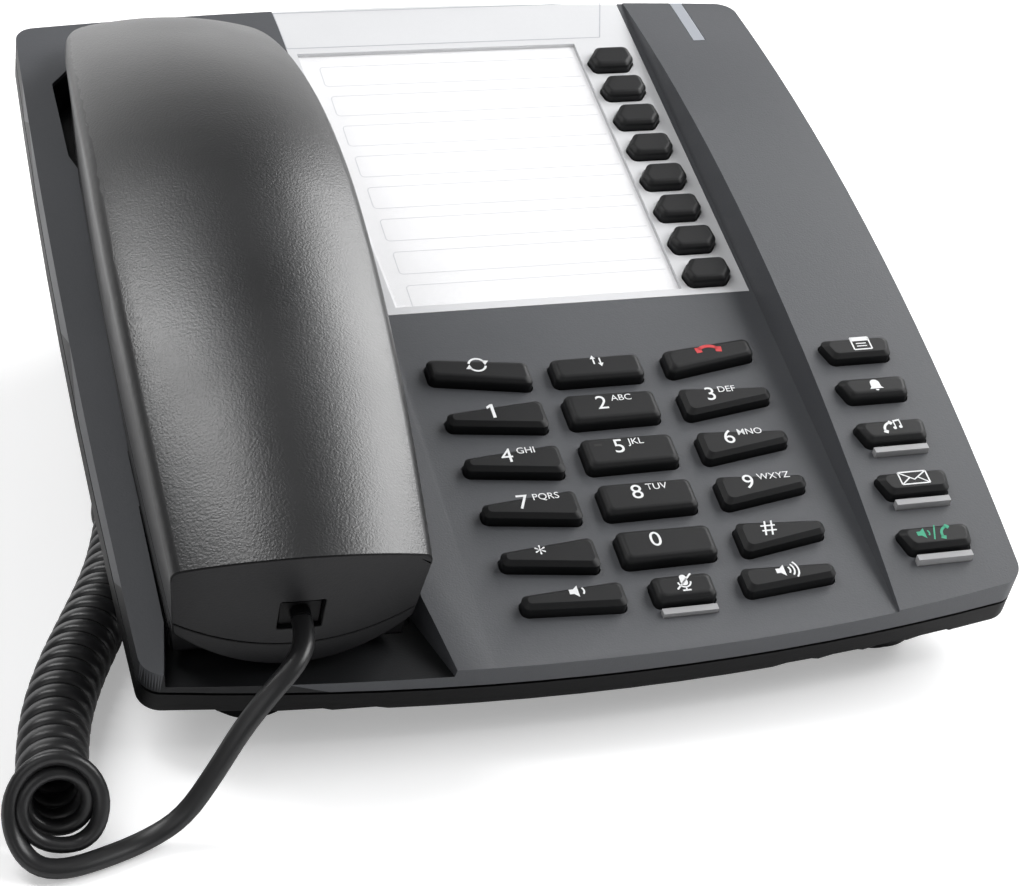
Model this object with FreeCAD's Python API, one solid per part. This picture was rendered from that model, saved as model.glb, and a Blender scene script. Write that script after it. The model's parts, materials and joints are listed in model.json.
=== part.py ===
import FreeCAD
import Part
import math
import os
from FreeCAD import Vector

os.makedirs("parts", exist_ok=True)

# Corded desk telephone, millimetres and degrees.
# The body is drawn lying flat: X to the right, Y to the rear from the front edge, and Z up
# from the key panel. It is then tilted and set on the desk, with Z zero at the desk.

# Posture on the desk
desk_tilt = 16.0
rim_height = 8.0

# Body outline seen from above
front_half_width = 92.4
middle_half_width = 93.3
rear_left_half_width = 90.4
rear_right_half_width = 92.6
body_depth = 211.0
front_bulge = 8.0
rear_bulge = 4.5
corner_radius = 5.0

# What lies along the body keeps its share of the depth
depth_share = body_depth / 211.0

# Cutting forms reach this far past the body
past_side = middle_half_width + 17.0
past_end = body_depth + 20.0

# Body heights, measured from the key panel
upper_skirt = 4.9
parting_gap = 0.7
rim_depth = 11.5
wing_rise = 8.3
cradle_rise = 3.0
shell_wall = 2.2
panel_wall = 3.0
floor_wall = 2.2

# Key panel between the cradle side and the right wing
handset_axis_x = -front_half_width + 32.2
crease_x = handset_axis_x + 35.8
crease_slope = 10.0
wing_wall_front_x = front_half_width - 30.0
wing_wall_rear_x = wing_wall_front_x + 1.6
wing_wall_draft = 8.0

# Keys
key_gap = 0.35
key_height = 3.0
key_crown = 0.9
key_taper = 1.0
key_corner = 1.3
key_lip = 1.0
key_lip_thickness = 1.0
key_play = 0.1
key_travel = 1.3
key_stem_radius = 2.4
dome_gap = 0.2
dome_height = 0.5
mat_thickness = 0.8
board_thickness = 1.6

# Digit keys, three columns and four rows
digit_row_pitch = 13.2 * depth_share
digit_front_row_y = 26.0 * depth_share
digit_key_depth = 8.2 * depth_share
digit_narrow_depth = 3.4 * depth_share
left_column_x = crease_x + 6.1
left_column_end_x = left_column_x + 21.5
left_column_shift = 0.45
middle_column_x = left_column_end_x + 5.1
middle_column_end_x = middle_column_x + 20.4
right_column_x = middle_column_end_x + 5.7
right_column_end_x = right_column_x + 20.5

# Function keys behind the digits, volume and mute keys in front of them
function_row_y = 77.6 * depth_share
function_key_depth = 6.9 * depth_share
function_rise = 3.4
volume_row_y = 14.2 * depth_share
volume_key_depth = 6.4 * depth_share
volume_narrow_depth = 3.6 * depth_share
volume_left_x = left_column_x + 2.6
volume_left_end_x = volume_left_x + 21.5
mute_x = volume_left_end_x + 6.1
mute_end_x = mute_x + 13.0
volume_right_x = mute_end_x + 6.6
volume_right_end_x = volume_right_x + 20.2

# Keys on the right wing
wing_key_x = wing_wall_front_x + 4.8
wing_key_end_x = wing_key_x + 16.6
wing_key_depth = 5.8 * depth_share
wing_key_skew = 2.0
wing_key_height = 2.6
wing_key_ys = [y * depth_share for y in (70.8, 59.2, 47.0, 33.0, 18.9)]

# Memory keys beside the label
memory_key_x = wing_wall_front_x - 14.5
memory_key_end_x = memory_key_x + 11.4
memory_key_depth = 7.8 * depth_share
memory_key_height = 2.6
memory_key_count = 8
memory_key_pitch = 11.2 * depth_share
memory_key_front_y = 106.9 * depth_share

# Label field
label_left_front_x = crease_x + 1.5
label_left_rear_x = crease_x - 2.8
label_right_x = wing_wall_front_x
label_front_y = 100.7 * depth_share
header_depth = 15.4
frame_border = 3.6
frame_thickness = 1.6
window_right_x = memory_key_x - 2.7
paper_thickness = 0.3
cover_thickness = 0.9
fit_gap = 0.15

# Circuit board and keypad mat under the keys
board_left_x = crease_x + 3.0
board_right_x = front_half_width - 6.4
board_front_y = 9.5
board_rear_y = 190.0 * depth_share
mat_margin = 1.0
mat_strip_x = memory_key_x - 3.9
mat_strip_end_x = memory_key_end_x + 4.7
mat_strip_y = 90.0 * depth_share
dome_foot_radius = 2.4
dome_top_radius = 1.7

# Message lamp and key indicators
lamp_x = wing_wall_rear_x + 12.5
lamp_width = 3.1
lamp_length = 22.0
lamp_thickness = 1.8
indicator_depth = 1.5
indicator_gap = 0.5
indicator_height = 1.0

# Cradle pockets
handset_turn = -1.8
ear_pocket_left_x = handset_axis_x - 24.4
ear_pocket_right_x = handset_axis_x + 30.4
ear_pocket_front_y = 139.0 * depth_share
ear_pocket_rear_y = 193.0 * depth_share
ear_pocket_chamfer = 9.0
ear_pocket_depth = 8.5
mouth_pocket_left_x = handset_axis_x - 26.0
mouth_pocket_right_x = handset_axis_x + 25.1
mouth_pocket_rear_y = 53.5 * depth_share
mouth_pocket_chamfer = 4.5
mouth_pocket_depth = 7.2
ramp_end_y = 23.0 * depth_share
ramp_flare = 5.0
ramp_lip_depth = 0.8
pocket_wall = 1.6

# Loudspeaker grille
grille_x = handset_axis_x - 21.3
grille_columns = 3
grille_rows = 17
grille_pitch = 2.9
grille_start_y = ear_pocket_front_y - 58.0
grille_hole_radius = 0.75
speaker_offset = 16.8
speaker_radius = 18.0
speaker_height = 7.0
speaker_magnet_radius = 9.0

# Handset
handset_front_y = 4.8
handset_rear_y = 196.5 * depth_share
handset_half_width = 27.7
handset_front_half_width = 24.3
handset_base_ratio = 0.93
handset_base_z = 6.0
under_step = 0.15
handset_back_front_z = 33.0
handset_back_middle_z = 41.0
handset_back_middle_y = 95.0 * depth_share
handset_crown = 8.0
handset_edge_reach = 2.2
back_section_count = 6
dome_section_count = 8
dome_start_y = 100.0 * depth_share
dome_width_power = 0.21
dome_height_power = 1.15
dome_crown_power = 0.7
dome_lip_height = 1.6
handset_end_lean = 0.09
handset_end_bulge = 4.0
handset_wall = 2.2
seam_middle_z = 5.7
seam_side_z = 12.4
seam_gap = 0.12
mouth_bottom_z = -2.4
mouth_front_y = 15.0 * depth_share
mouth_rear_y = 49.0 * depth_share
chin_z = -1.0
chin_side_z = 12.0
grip_bottom_z = 9.5
grip_end_z = 4.2
block_slope = 2.6
block_gap = 1.2
ear_bottom_z = -4.6
ear_front_y = ear_pocket_front_y + 4.0
ear_rear_y = ear_pocket_rear_y - 8.5
block_taper = 3.6
hook_travel = 3.0
hook_gap = 0.3
hook_x = handset_axis_x + 10.2
hook_y = ear_pocket_front_y + 14.0
hook_length = 9.0
hook_width = 6.0
receiver_y = (ear_front_y + ear_rear_y) / 2 - 0.75
receiver_radius = 15.0
receiver_height = 8.0
microphone_y = (mouth_front_y + mouth_rear_y) / 2 - 1.0
microphone_radius = 5.0
microphone_height = 5.0
weight_length = 36.0
weight_width = 18.0
weight_thickness = 6.0

# Modular jacks and plugs
handset_plug_width = 7.65
handset_plug_height = 6.5
handset_plug_length = 11.0
jack_clearance = 0.1
jack_block_width = 11.6
jack_block_height = 9.4
jack_block_length = 14.0
handset_jack_z = 14.4
line_plug_width = 9.65
line_plug_height = 6.8
line_plug_length = 12.0
line_block_width = 14.0
line_block_length = 16.0
latch_width = 3.6
latch_height = 1.2
opening_margin = 0.4

# Belly under the floor, feet and stand
belly_depth = 23.0
belly_left_x = handset_axis_x - 5.8
belly_right_x = front_half_width - 16.4
belly_front_y = 34.0 * depth_share
belly_rear_y = body_depth - 9.0
belly_draft = 2.0
bay_left_x = -front_half_width + 3.9
bay_front_y = 132.0 * depth_share
bay_jack_x = bay_left_x + 12.0
line_jack_x = belly_right_x - 16.0
foot_radius = 7.0
foot_post_radius = 8.5
front_foot_x = front_half_width - 24.4
front_foot_y = 20.0
foot_rubber = 3.5
stand_left_x = belly_left_x + 14.0
stand_right_x = belly_right_x - 20.0
stand_front_y = 128.0 * depth_share
stand_rear_y = belly_rear_y - 4.0
stand_wall = 2.5
stand_foot_front = 166.0 * depth_share
stand_foot_rear = 197.0 * depth_share
stand_rib_count = 3
rear_pad_length = 22.0
rear_pad_width = 9.0
rear_pad_thickness = 2.4
screw_radius = 1.5
screw_head_radius = 3.0
screw_boss_radius = 4.0

screw_spots = [(belly_left_x + 26.0, belly_front_y + 32.0), (crease_x + 10.4, belly_rear_y - 6.0),
               (front_half_width - 8.4, 96.0 * depth_share), (handset_axis_x + 4.2, bay_front_y - 2.0)]

# Handset cord, with its route on the desk
cord_diameter = 4.0
coil_diameter = 14.0
plug_run = 9.6
base_run = 11.0
lead_points = [(-71.5, -113.3, 24.0), (-83.5, -116.8, 11.0), (-96.0, -119.8, 2.2), (-111.0, -123.8, 2.1),
               (-119.5, -116.8, 2.6), (-121.0, -106.8, 5.0), (-115.2, -98.3, 8.0)]
coil_points = [(-111.5, -114.3, 7.0), (-110.8, -99.8, 7.0), (-107.5, -84.3, 7.0), (-102.5, -69.8, 7.0),
               (-96.5, -56.3, 7.0), (-90.5, -42.8, 7.2), (-85.5, -28.8, 7.4), (-82.0, -14.3, 7.4)]
tail_point = (-79.2, -2.7, 7.4)

tilt = math.radians(desk_tilt)
panel_rest_z = rim_height + rim_depth * math.cos(tilt)


# Drawing helpers

def box(x0, x1, y0, y1, z0, z1):
    return Part.makeBox(x1 - x0, y1 - y0, z1 - z0, Vector(x0, y0, z0))


def round_loop(points, radius, z):
    """Closed wire through the points of a polygon, with each corner rounded."""
    count = len(points)
    starts = []
    edges = []
    for i in range(count):
        before = Vector(*points[i - 1], z)
        corner = Vector(*points[i], z)
        after = Vector(*points[(i + 1) % count], z)
        to_before = (before - corner).normalize()
        to_after = (after - corner).normalize()
        half = to_before.getAngle(to_after) / 2
        reach = radius / math.tan(half)
        limit = 0.45 * min((before - corner).Length, (after - corner).Length)
        reach = min(reach, limit)
        swing = reach * math.tan(half)
        inward = (to_before + to_after).normalize()
        centre = corner + inward * (swing / math.sin(half))
        middle = centre - inward * swing
        starts.append((corner + to_before * reach, middle, corner + to_after * reach))
    for i in range(count):
        first, middle, last = starts[i]
        following = starts[(i + 1) % count][0]
        edges.append(Part.Arc(first, middle, last).toShape())
        edges.append(Part.LineSegment(last, following).toShape())
    return Part.Wire(edges)


def inset_polygon(points, distance):
    """The same convex polygon with each side moved inward."""
    count = len(points)
    area = sum(points[i - 1][0] * points[i][1] - points[i][0] * points[i - 1][1] for i in range(count))
    side = 1.0 if area > 0 else -1.0
    lines = []
    for i in range(count):
        x0, y0 = points[i]
        x1, y1 = points[(i + 1) % count]
        length = math.hypot(x1 - x0, y1 - y0)
        nx = -(y1 - y0) / length * side
        ny = (x1 - x0) / length * side
        lines.append((x0 + nx * distance, y0 + ny * distance, x1 - x0, y1 - y0))
    result = []
    for i in range(count):
        ax, ay, adx, ady = lines[i - 1]
        bx, by, bdx, bdy = lines[i]
        cross = adx * bdy - ady * bdx
        t = ((bx - ax) * bdy - (by - ay) * bdx) / cross
        result.append((ax + adx * t, ay + ady * t))
    return result


def prism(points, radius, z0, z1):
    return Part.Face(round_loop(points, radius, z0)).extrude(Vector(0, 0, z1 - z0))


def side_prism(points, x0, x1):
    """Extrusion along X of a closed side profile given as (y, z) points."""
    loop = Part.makePolygon([Vector(x0, y, z) for y, z in points + points[:1]])
    return Part.Face(loop).extrude(Vector(x1 - x0, 0, 0))


def arc_edge(a, b, c):
    return Part.Arc(Vector(*a), Vector(*b), Vector(*c)).toShape()


def body_wire(inset, z):
    """Outline of the body with four gently curved sides and rounded corners."""
    front_y = front_bulge + inset
    rear_y = body_depth - rear_bulge - inset
    front_left = (-front_half_width + inset, front_y, z)
    front_right = (front_half_width - inset, front_y, z)
    rear_left = (-rear_left_half_width + inset, rear_y, z)
    rear_right = (rear_right_half_width - inset, rear_y, z)
    middle_y = body_depth / 2
    edges = [
        arc_edge(front_left, (0, inset, z), front_right),
        arc_edge(front_right, (middle_half_width - inset, middle_y, z), rear_right),
        arc_edge(rear_right, (0, body_depth - inset, z), rear_left),
        arc_edge(rear_left, (-middle_half_width + inset, middle_y, z), front_left),
    ]
    return Part.Wire(edges)


def upright_edges(solid):
    found = []
    for edge in solid.Edges:
        ends = edge.Vertexes
        if len(ends) == 2 and (ends[0].Point - ends[1].Point).cross(Vector(0, 0, 1)).Length < 1e-6:
            found.append(edge)
    return found


def body_slab(inset, z0, z1):
    slab = Part.Face(body_wire(inset, z0)).extrude(Vector(0, 0, z1 - z0))
    return slab.makeFillet(max(corner_radius - inset, 0.8), upright_edges(slab))


def arch_height(y, rise):
    """Height of the arched top at a distance from the front edge."""
    half = body_depth / 2
    radius = (half * half + rise * rise) / (2 * rise)
    return math.sqrt(radius * radius - (y - half) ** 2) - (radius - rise)


def arch_block(x0, x1, rise, z0, drop=0.0):
    """Block whose top is the arch, lowered by drop."""
    overhang = 2.0
    near = Vector(x0, -overhang, arch_height(-overhang, rise) - drop)
    top = Vector(x0, body_depth / 2, rise - drop)
    far = Vector(x0, body_depth + overhang, arch_height(body_depth + overhang, rise) - drop)
    low_far = Vector(x0, far.y, z0)
    low_near = Vector(x0, near.y, z0)
    loop = Part.Wire([
        Part.Arc(near, top, far).toShape(),
        Part.LineSegment(far, low_far).toShape(),
        Part.LineSegment(low_far, low_near).toShape(),
        Part.LineSegment(low_near, near).toShape(),
    ])
    return Part.Face(loop).extrude(Vector(x1 - x0, 0, 0))


def loft(wires, ruled=True):
    return Part.makeLoft(wires, True, ruled)


def polygon_wire(points, z):
    vectors = [Vector(x, y, z) for x, y in points]
    return Part.makePolygon(vectors + vectors[:1])


# Key outlines

def slanted_outline(x0, x1, left_y, left_depth, right_y, right_depth):
    return [
        (x0, left_y - left_depth / 2),
        (x1, right_y - right_depth / 2),
        (x1, right_y + right_depth / 2),
        (x0, left_y + left_depth / 2),
    ]


def digit_outlines():
    names = [["star", "0", "hash"], ["7", "8", "9"], ["4", "5", "6"], ["1", "2", "3"]]
    outlines = {}
    for row, row_names in enumerate(names):
        y = digit_front_row_y + row * digit_row_pitch
        shift = (3 - row) * left_column_shift
        outlines["key_" + row_names[0]] = slanted_outline(
            left_column_x + shift, left_column_end_x, y, digit_narrow_depth, y - 0.4, digit_key_depth)
        outlines["key_" + row_names[1]] = slanted_outline(
            middle_column_x, middle_column_end_x, y, digit_key_depth + 0.4, y, digit_key_depth)
        outlines["key_" + row_names[2]] = slanted_outline(
            right_column_x, right_column_end_x - shift,
            y - 0.4, digit_key_depth, y + 0.6, digit_narrow_depth)
    return outlines


def function_outlines():
    y = function_row_y
    low = volume_row_y
    depth = function_key_depth
    return {
        "key_redial": slanted_outline(left_column_x - 0.6, left_column_end_x, y + function_rise, depth - 0.9,
                                      y - 0.2, depth),
        "key_flash": slanted_outline(middle_column_x, middle_column_end_x, y, depth, y, depth),
        "key_hang_up": slanted_outline(right_column_x, right_column_end_x + 0.5, y, depth,
                                       y + function_rise - 0.3, depth - 1.6),
        "key_volume_down": slanted_outline(volume_left_x, volume_left_end_x, low, volume_narrow_depth,
                                           low, volume_key_depth),
        "key_mute": slanted_outline(mute_x, mute_end_x, low, volume_key_depth, low, volume_key_depth),
        "key_volume_up": slanted_outline(volume_right_x, volume_right_end_x, low, volume_key_depth,
                                         low + 0.6, volume_narrow_depth),
    }


def wing_outlines():
    names = ["notes", "bell", "callback", "message", "handsfree"]
    outlines = {}
    for name, y in zip(names, wing_key_ys):
        half = wing_key_depth / 2
        outlines["key_" + name] = [
            (wing_key_x + wing_key_skew, y - half),
            (wing_key_end_x - 0.5 * wing_key_skew, y - half),
            (wing_key_end_x, y + half),
            (wing_key_x, y + half),
        ]
    return outlines


def memory_outlines():
    outlines = {}
    for i in range(memory_key_count):
        y = memory_key_front_y + (memory_key_count - 1 - i) * memory_key_pitch
        half = memory_key_depth / 2
        outlines["memory_key_%d" % (i + 1)] = [
            (memory_key_x + 0.8, y - half),
            (memory_key_end_x - 2.2, y - half),
            (memory_key_end_x, y - 0.25 * half),
            (memory_key_end_x - 0.4, y + half),
            (memory_key_x + 2.8, y + half),
            (memory_key_x, y - 0.1 * half),
        ]
    return outlines


panel_keys = {**digit_outlines(), **function_outlines()}
wing_keys = wing_outlines()
memory_keys = memory_outlines()


def key_base_height(name):
    """Height of the housing surface that a key stands out of."""
    if name in wing_keys:
        ys = [y for x, y in wing_keys[name]]
        return arch_height((min(ys) + max(ys)) / 2, wing_rise)
    return 0.0


key_foot_z = -panel_wall - key_play - key_lip_thickness


def key_lip_height(name):
    """Top of a key's lip, just under the wall that the key stands out of."""
    if name in wing_keys:
        lowest = min(y for x, y in wing_keys[name]) - key_lip
        return arch_height(lowest, wing_rise) - panel_wall - key_play
    return -panel_wall - key_play


def key_solid(name, outline, height):
    """Crowned cap with a lip that holds it under the housing, and a stem to the mat."""
    top = key_base_height(name) + height
    shoulder = top - key_crown
    lip_top = key_lip_height(name)
    lip_bottom = lip_top - key_lip_thickness
    skirt = prism(outline, key_corner, lip_top - 0.5, shoulder)
    cap = loft([
        round_loop(outline, key_corner, shoulder),
        round_loop(inset_polygon(outline, key_taper), key_corner, top),
    ])
    lip = prism(inset_polygon(outline, -key_lip), key_corner, lip_bottom, lip_top)
    solid = skirt.fuse([cap, lip])
    if lip_bottom > key_foot_z:
        x = sum(p[0] for p in outline) / len(outline)
        y = sum(p[1] for p in outline) / len(outline)
        stem = Part.makeCylinder(key_stem_radius, lip_bottom + 0.5 - key_foot_z, Vector(x, y, key_foot_z))
        solid = solid.fuse(stem)
    return solid.removeSplitter()


def key_openings():
    """Holes in the top of the housing, one for each key."""
    holes = []
    for group in (panel_keys, wing_keys, memory_keys):
        for name, outline in group.items():
            grown = inset_polygon(outline, -key_gap)
            holes.append(prism(grown, key_corner + key_gap, -panel_wall - 1, key_base_height(name) + 5))
    return holes


# Cradle pockets

def ear_pocket(grow):
    cut = ear_pocket_chamfer
    outline = inset_polygon([
        (ear_pocket_left_x + 0.6 * cut, ear_pocket_front_y),
        (ear_pocket_right_x - 0.3 * cut, ear_pocket_front_y),
        (ear_pocket_right_x, ear_pocket_front_y + cut),
        (ear_pocket_right_x, ear_pocket_rear_y - cut),
        (ear_pocket_right_x - cut, ear_pocket_rear_y),
        (ear_pocket_left_x + 0.8 * cut, ear_pocket_rear_y),
        (ear_pocket_left_x, ear_pocket_rear_y - cut),
        (ear_pocket_left_x, ear_pocket_front_y + 2.0 * cut)], -grow)
    floor = -ear_pocket_depth - grow
    return loft([round_loop(inset_polygon(outline, 1.5), 2.0, floor), round_loop(outline, 2.0, 0.0),
                 round_loop(inset_polygon(outline, -1.0), 2.0, 15.0)])


def mouth_pocket(grow):
    """Front pocket that opens out and ramps up to the front rim."""
    left = mouth_pocket_left_x - grow
    right = mouth_pocket_right_x + grow
    rear = mouth_pocket_rear_y + grow
    cut = mouth_pocket_chamfer
    floor = -mouth_pocket_depth - grow
    outline = [(left, ramp_end_y - 6.0), (right, ramp_end_y - 6.0), (right, rear - cut),
               (right - cut, rear), (left + cut, rear), (left, rear - cut)]
    well = loft([round_loop(inset_polygon(outline, 1.5), 1.5, floor), round_loop(outline, 1.5, 0.0),
                 round_loop(inset_polygon(outline, -1.0), 1.5, 15.0)])
    sections = []
    for y, flare, z in ((-3.0, ramp_flare, -ramp_lip_depth - grow), (ramp_end_y, 0.0, floor)):
        sections.append(Part.makePolygon([
            Vector(left - flare + 1.5, y, z), Vector(right + flare - 1.5, y, z),
            Vector(right + flare + 1.0, y, 15), Vector(left - flare - 1.0, y, 15),
            Vector(left - flare + 1.5, y, z)]))
    return well.fuse(loft(sections))


# Body shells

def top_form(inset, drop):
    """Solid under the whole top surface, moved inward and down for the inner side."""
    slab = body_slab(inset, -40, 20)
    wing = slab.common(arch_block(crease_x, past_side, wing_rise, -40, drop))
    cradle = slab.common(arch_block(-past_side, crease_x, cradle_rise, -40, drop))
    lean = math.tan(math.radians(wing_wall_draft))
    sections = []
    for y, x in ((-5.0, wing_wall_front_x), (body_depth + 5.0, wing_wall_rear_x)):
        wall_x = x + inset
        sections.append(Part.makePolygon([
            Vector(crease_x - 1, y, -drop), Vector(wall_x, y, -drop),
            Vector(wall_x + 20 * lean, y, 20 - drop),
            Vector(crease_x - 1, y, 20 - drop), Vector(crease_x - 1, y, -drop)]))
    panel_cut = loft(sections)
    reach = 30.0
    rise = reach * math.tan(math.radians(crease_slope))
    crease_cut = Part.Face(Part.makePolygon([
        Vector(crease_x, -5, -drop), Vector(crease_x - reach, -5, rise - drop),
        Vector(crease_x - reach, -5, 30), Vector(crease_x, -5, 30),
        Vector(crease_x, -5, -drop)])).extrude(Vector(0, body_depth + 10, 0))
    return wing.cut(panel_cut).fuse(cradle.cut(crease_cut))


def label_field(grow, z0, z1):
    points = [(label_left_front_x - grow, label_front_y - grow),
              (label_right_x + grow, label_front_y - grow),
              (label_right_x + grow, body_depth + 5), (label_left_rear_x - grow, body_depth + 5)]
    return loft([polygon_wire(points, z0), polygon_wire(points, z1)])


def lamp_skin(grow, low):
    """Strip of the outer skin at the rear of the wing that runs over the rear edge."""
    start = body_depth - lamp_length
    strip = box(lamp_x - grow, lamp_x + lamp_width + grow, start - grow, body_depth + 5, low, 15)
    depth = lamp_thickness + grow
    core = body_slab(depth, -30, 30).common(arch_block(crease_x, past_side, wing_rise, -30, depth))
    return strip.cut(core)


indicator_keys = ["key_mute", "key_callback", "key_message", "key_handsfree"]


def indicator_bars(grow, low, high):
    bars = []
    for name in indicator_keys:
        outline = {**panel_keys, **wing_keys}[name]
        xs = [x for x, y in outline[:2]]
        y = min(y for x, y in outline) - key_gap - indicator_gap
        surface = key_base_height(name)
        bars.append(box(min(xs) + 0.8 - grow, max(xs) - 0.4 + grow, y - indicator_depth - grow, y + grow,
                        surface + low, surface + high))
    return bars


def grille_holes():
    holes = []
    for column in range(grille_columns):
        for row in range(grille_rows):
            spot = Vector(grille_x + column * grille_pitch, grille_start_y + row * grille_pitch, -2)
            holes.append(Part.makeCylinder(grille_hole_radius, 8, spot))
    return holes


def hook_block(grow, z0, z1):
    half_x = hook_width / 2 + grow
    half_y = hook_length / 2 + grow
    outline = [(hook_x - half_x, hook_y - half_y), (hook_x + half_x, hook_y - half_y),
               (hook_x + half_x, hook_y + half_y), (hook_x - half_x, hook_y + half_y)]
    return prism(outline, 1.0 + grow, z0, z1)


floor_z = -rim_depth + floor_wall
belly_floor_z = -belly_depth + floor_wall
boss_meet_z = floor_z + 1.2


def upper_housing():
    outer = top_form(0, 0).common(box(-past_side, past_side, -20, past_end, -upper_skirt, 30))
    shell = outer.cut(top_form(shell_wall, panel_wall))
    under = top_form(0.6, 0.6)
    tubs = ear_pocket(pocket_wall).fuse(mouth_pocket(pocket_wall))
    inside = tubs.common(under)
    posts = []
    for x, y in screw_spots:
        post = Part.makeCylinder(screw_boss_radius, 20, Vector(x, y, boss_meet_z))
        posts.append(post.common(under))
    shell = shell.fuse([inside] + posts)
    cuts = [ear_pocket(0), mouth_pocket(0), label_field(fit_gap, -frame_thickness, 20),
            lamp_skin(fit_gap, -upper_skirt + 1.2 - fit_gap), hook_block(key_gap, -20, 5)]
    cuts += key_openings() + indicator_bars(fit_gap, -8, 8) + grille_holes()
    for x, y in screw_spots:
        cuts.append(Part.makeCylinder(screw_radius - 0.3, 6, Vector(x, y, boss_meet_z - 0.5)))
    return shell.cut(cuts).removeSplitter()


def belly_loop(inset, z):
    points = [
        (belly_left_x + inset, belly_front_y + inset), (belly_right_x - inset, belly_front_y + inset),
        (belly_right_x - inset, belly_rear_y - inset), (bay_left_x + inset, belly_rear_y - inset),
        (bay_left_x + inset, bay_front_y + inset), (belly_left_x + inset, bay_front_y + inset)]
    return polygon_wire(points, z)


def belly_form(inset, bottom, top):
    return loft([belly_loop(inset, top), belly_loop(inset + belly_draft, bottom)])


def foot_spots():
    return [(-front_foot_x, front_foot_y), (front_foot_x, front_foot_y)]


def lay_flat(shape):
    """From the desk's frame to the untilted body's."""
    copy = shape.copy()
    copy.translate(Vector(0, 0, -panel_rest_z))
    copy.rotate(Vector(0, 0, 0), Vector(1, 0, 0), -desk_tilt)
    return copy


def below_desk(height):
    return lay_flat(Part.makeBox(600, 600, 200, Vector(-300, -300, -200 + height)))


def screw_base(x, y):
    """Height of the outer floor under a screw."""
    in_belly = belly_left_x < x < belly_right_x and belly_front_y < y < belly_rear_y
    return -belly_depth if in_belly else -rim_depth


jack_z = belly_floor_z + jack_block_height / 2 + 0.3


def lower_housing():
    lip_z = -upper_skirt - parting_gap
    rim = body_slab(0, -rim_depth, lip_z)
    low_edges = [e for e in rim.Edges if e.BoundBox.ZMax < -rim_depth + 1e-6]
    rim = rim.makeFillet(1.6, low_edges)
    posts = []
    for x, y in foot_spots():
        post = Part.makeCone(foot_post_radius, foot_post_radius + 1.5, 20, Vector(x, y, -rim_depth - 19))
        posts.append(post.cut(below_desk(foot_rubber - 1.2)))
    outer = rim.fuse([belly_form(0, -belly_depth, -rim_depth + 1)] + posts)
    inner = body_slab(shell_wall, floor_z, 5).fuse(belly_form(floor_wall, belly_floor_z, floor_z + 1))
    tongue_inset = shell_wall + fit_gap
    tongue = body_slab(tongue_inset, lip_z - 1.4, -upper_skirt + 1.6).cut(
        body_slab(tongue_inset + 1.3, lip_z - 2, 0))
    web = body_slab(shell_wall - 0.6, lip_z - 1.4, lip_z).cut(body_slab(tongue_inset + 1.3, lip_z - 2, 0))
    tongue = tongue.fuse(web).cut([mouth_pocket(pocket_wall + 0.3), ear_pocket(pocket_wall + 0.3)])
    towers = []
    holes = []
    for x, y in screw_spots:
        base = screw_base(x, y)
        towers.append(Part.makeCylinder(screw_boss_radius, boss_meet_z - 0.05 - base, Vector(x, y, base)))
        holes.append(Part.makeCylinder(screw_radius + 0.2, 30, Vector(x, y, base - 1)))
        holes.append(Part.makeCylinder(screw_head_radius + 0.2, 2.1, Vector(x, y, base - 0.1)))
    shell = outer.cut(inner).fuse(towers + [tongue])
    for x, y in foot_spots():
        recess = Part.makeCylinder(foot_radius + 0.1, 30, Vector(x, y, -rim_depth - 28))
        holes.append(recess.common(below_desk(foot_rubber)))
    half_w = handset_plug_width / 2 + opening_margin
    half_h = handset_plug_height / 2 + opening_margin
    holes.append(box(bay_jack_x - half_w, bay_jack_x + half_w, bay_front_y - 5, bay_front_y + 7,
                     jack_z - half_h, jack_z + half_h + latch_height))
    half_w = line_plug_width / 2 + opening_margin
    half_h = line_plug_height / 2 + opening_margin
    holes.append(box(line_jack_x - half_w, line_jack_x + half_w, belly_rear_y - 7, belly_rear_y + 5,
                     jack_z - half_h, jack_z + half_h + latch_height))
    return shell.cut(holes).removeSplitter()


def housing_screws():
    screws = []
    for x, y in screw_spots:
        base = screw_base(x, y) + 0.3
        head = Part.makeCylinder(screw_head_radius, 1.6, Vector(x, y, base))
        shank = Part.makeCylinder(screw_radius - 0.35, boss_meet_z + 4.0 - base, Vector(x, y, base))
        screws.append(head.fuse(shank).removeSplitter())
    return Part.makeCompound(screws)


def stand_pad_xs():
    return [stand_left_x + 16, stand_right_x - 16]


def stand_pad(grow, z0, z1):
    pads = []
    for x in stand_pad_xs():
        pads.append(box(x - rear_pad_length / 2 - grow, x + rear_pad_length / 2 + grow,
                        stand_foot_rear - 9 - rear_pad_width - grow, stand_foot_rear - 9 + grow, z0, z1))
    return pads


def rubber_feet():
    feet = []
    for x, y in foot_spots():
        disc = Part.makeCylinder(foot_radius, 30, Vector(x, y, -rim_depth - 28))
        feet.append(disc.common(below_desk(foot_rubber - 0.02)).cut(below_desk(0)))
    feet += [lay_flat(pad) for pad in stand_pad(0, 0, rear_pad_thickness - 0.02)]
    return Part.makeCompound(feet)


def on_desk(y, z):
    """Place of a point of the untilted body in the desk's frame, as (y, z)."""
    return (y * math.cos(tilt) - z * math.sin(tilt), y * math.sin(tilt) + z * math.cos(tilt) + panel_rest_z)


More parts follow.
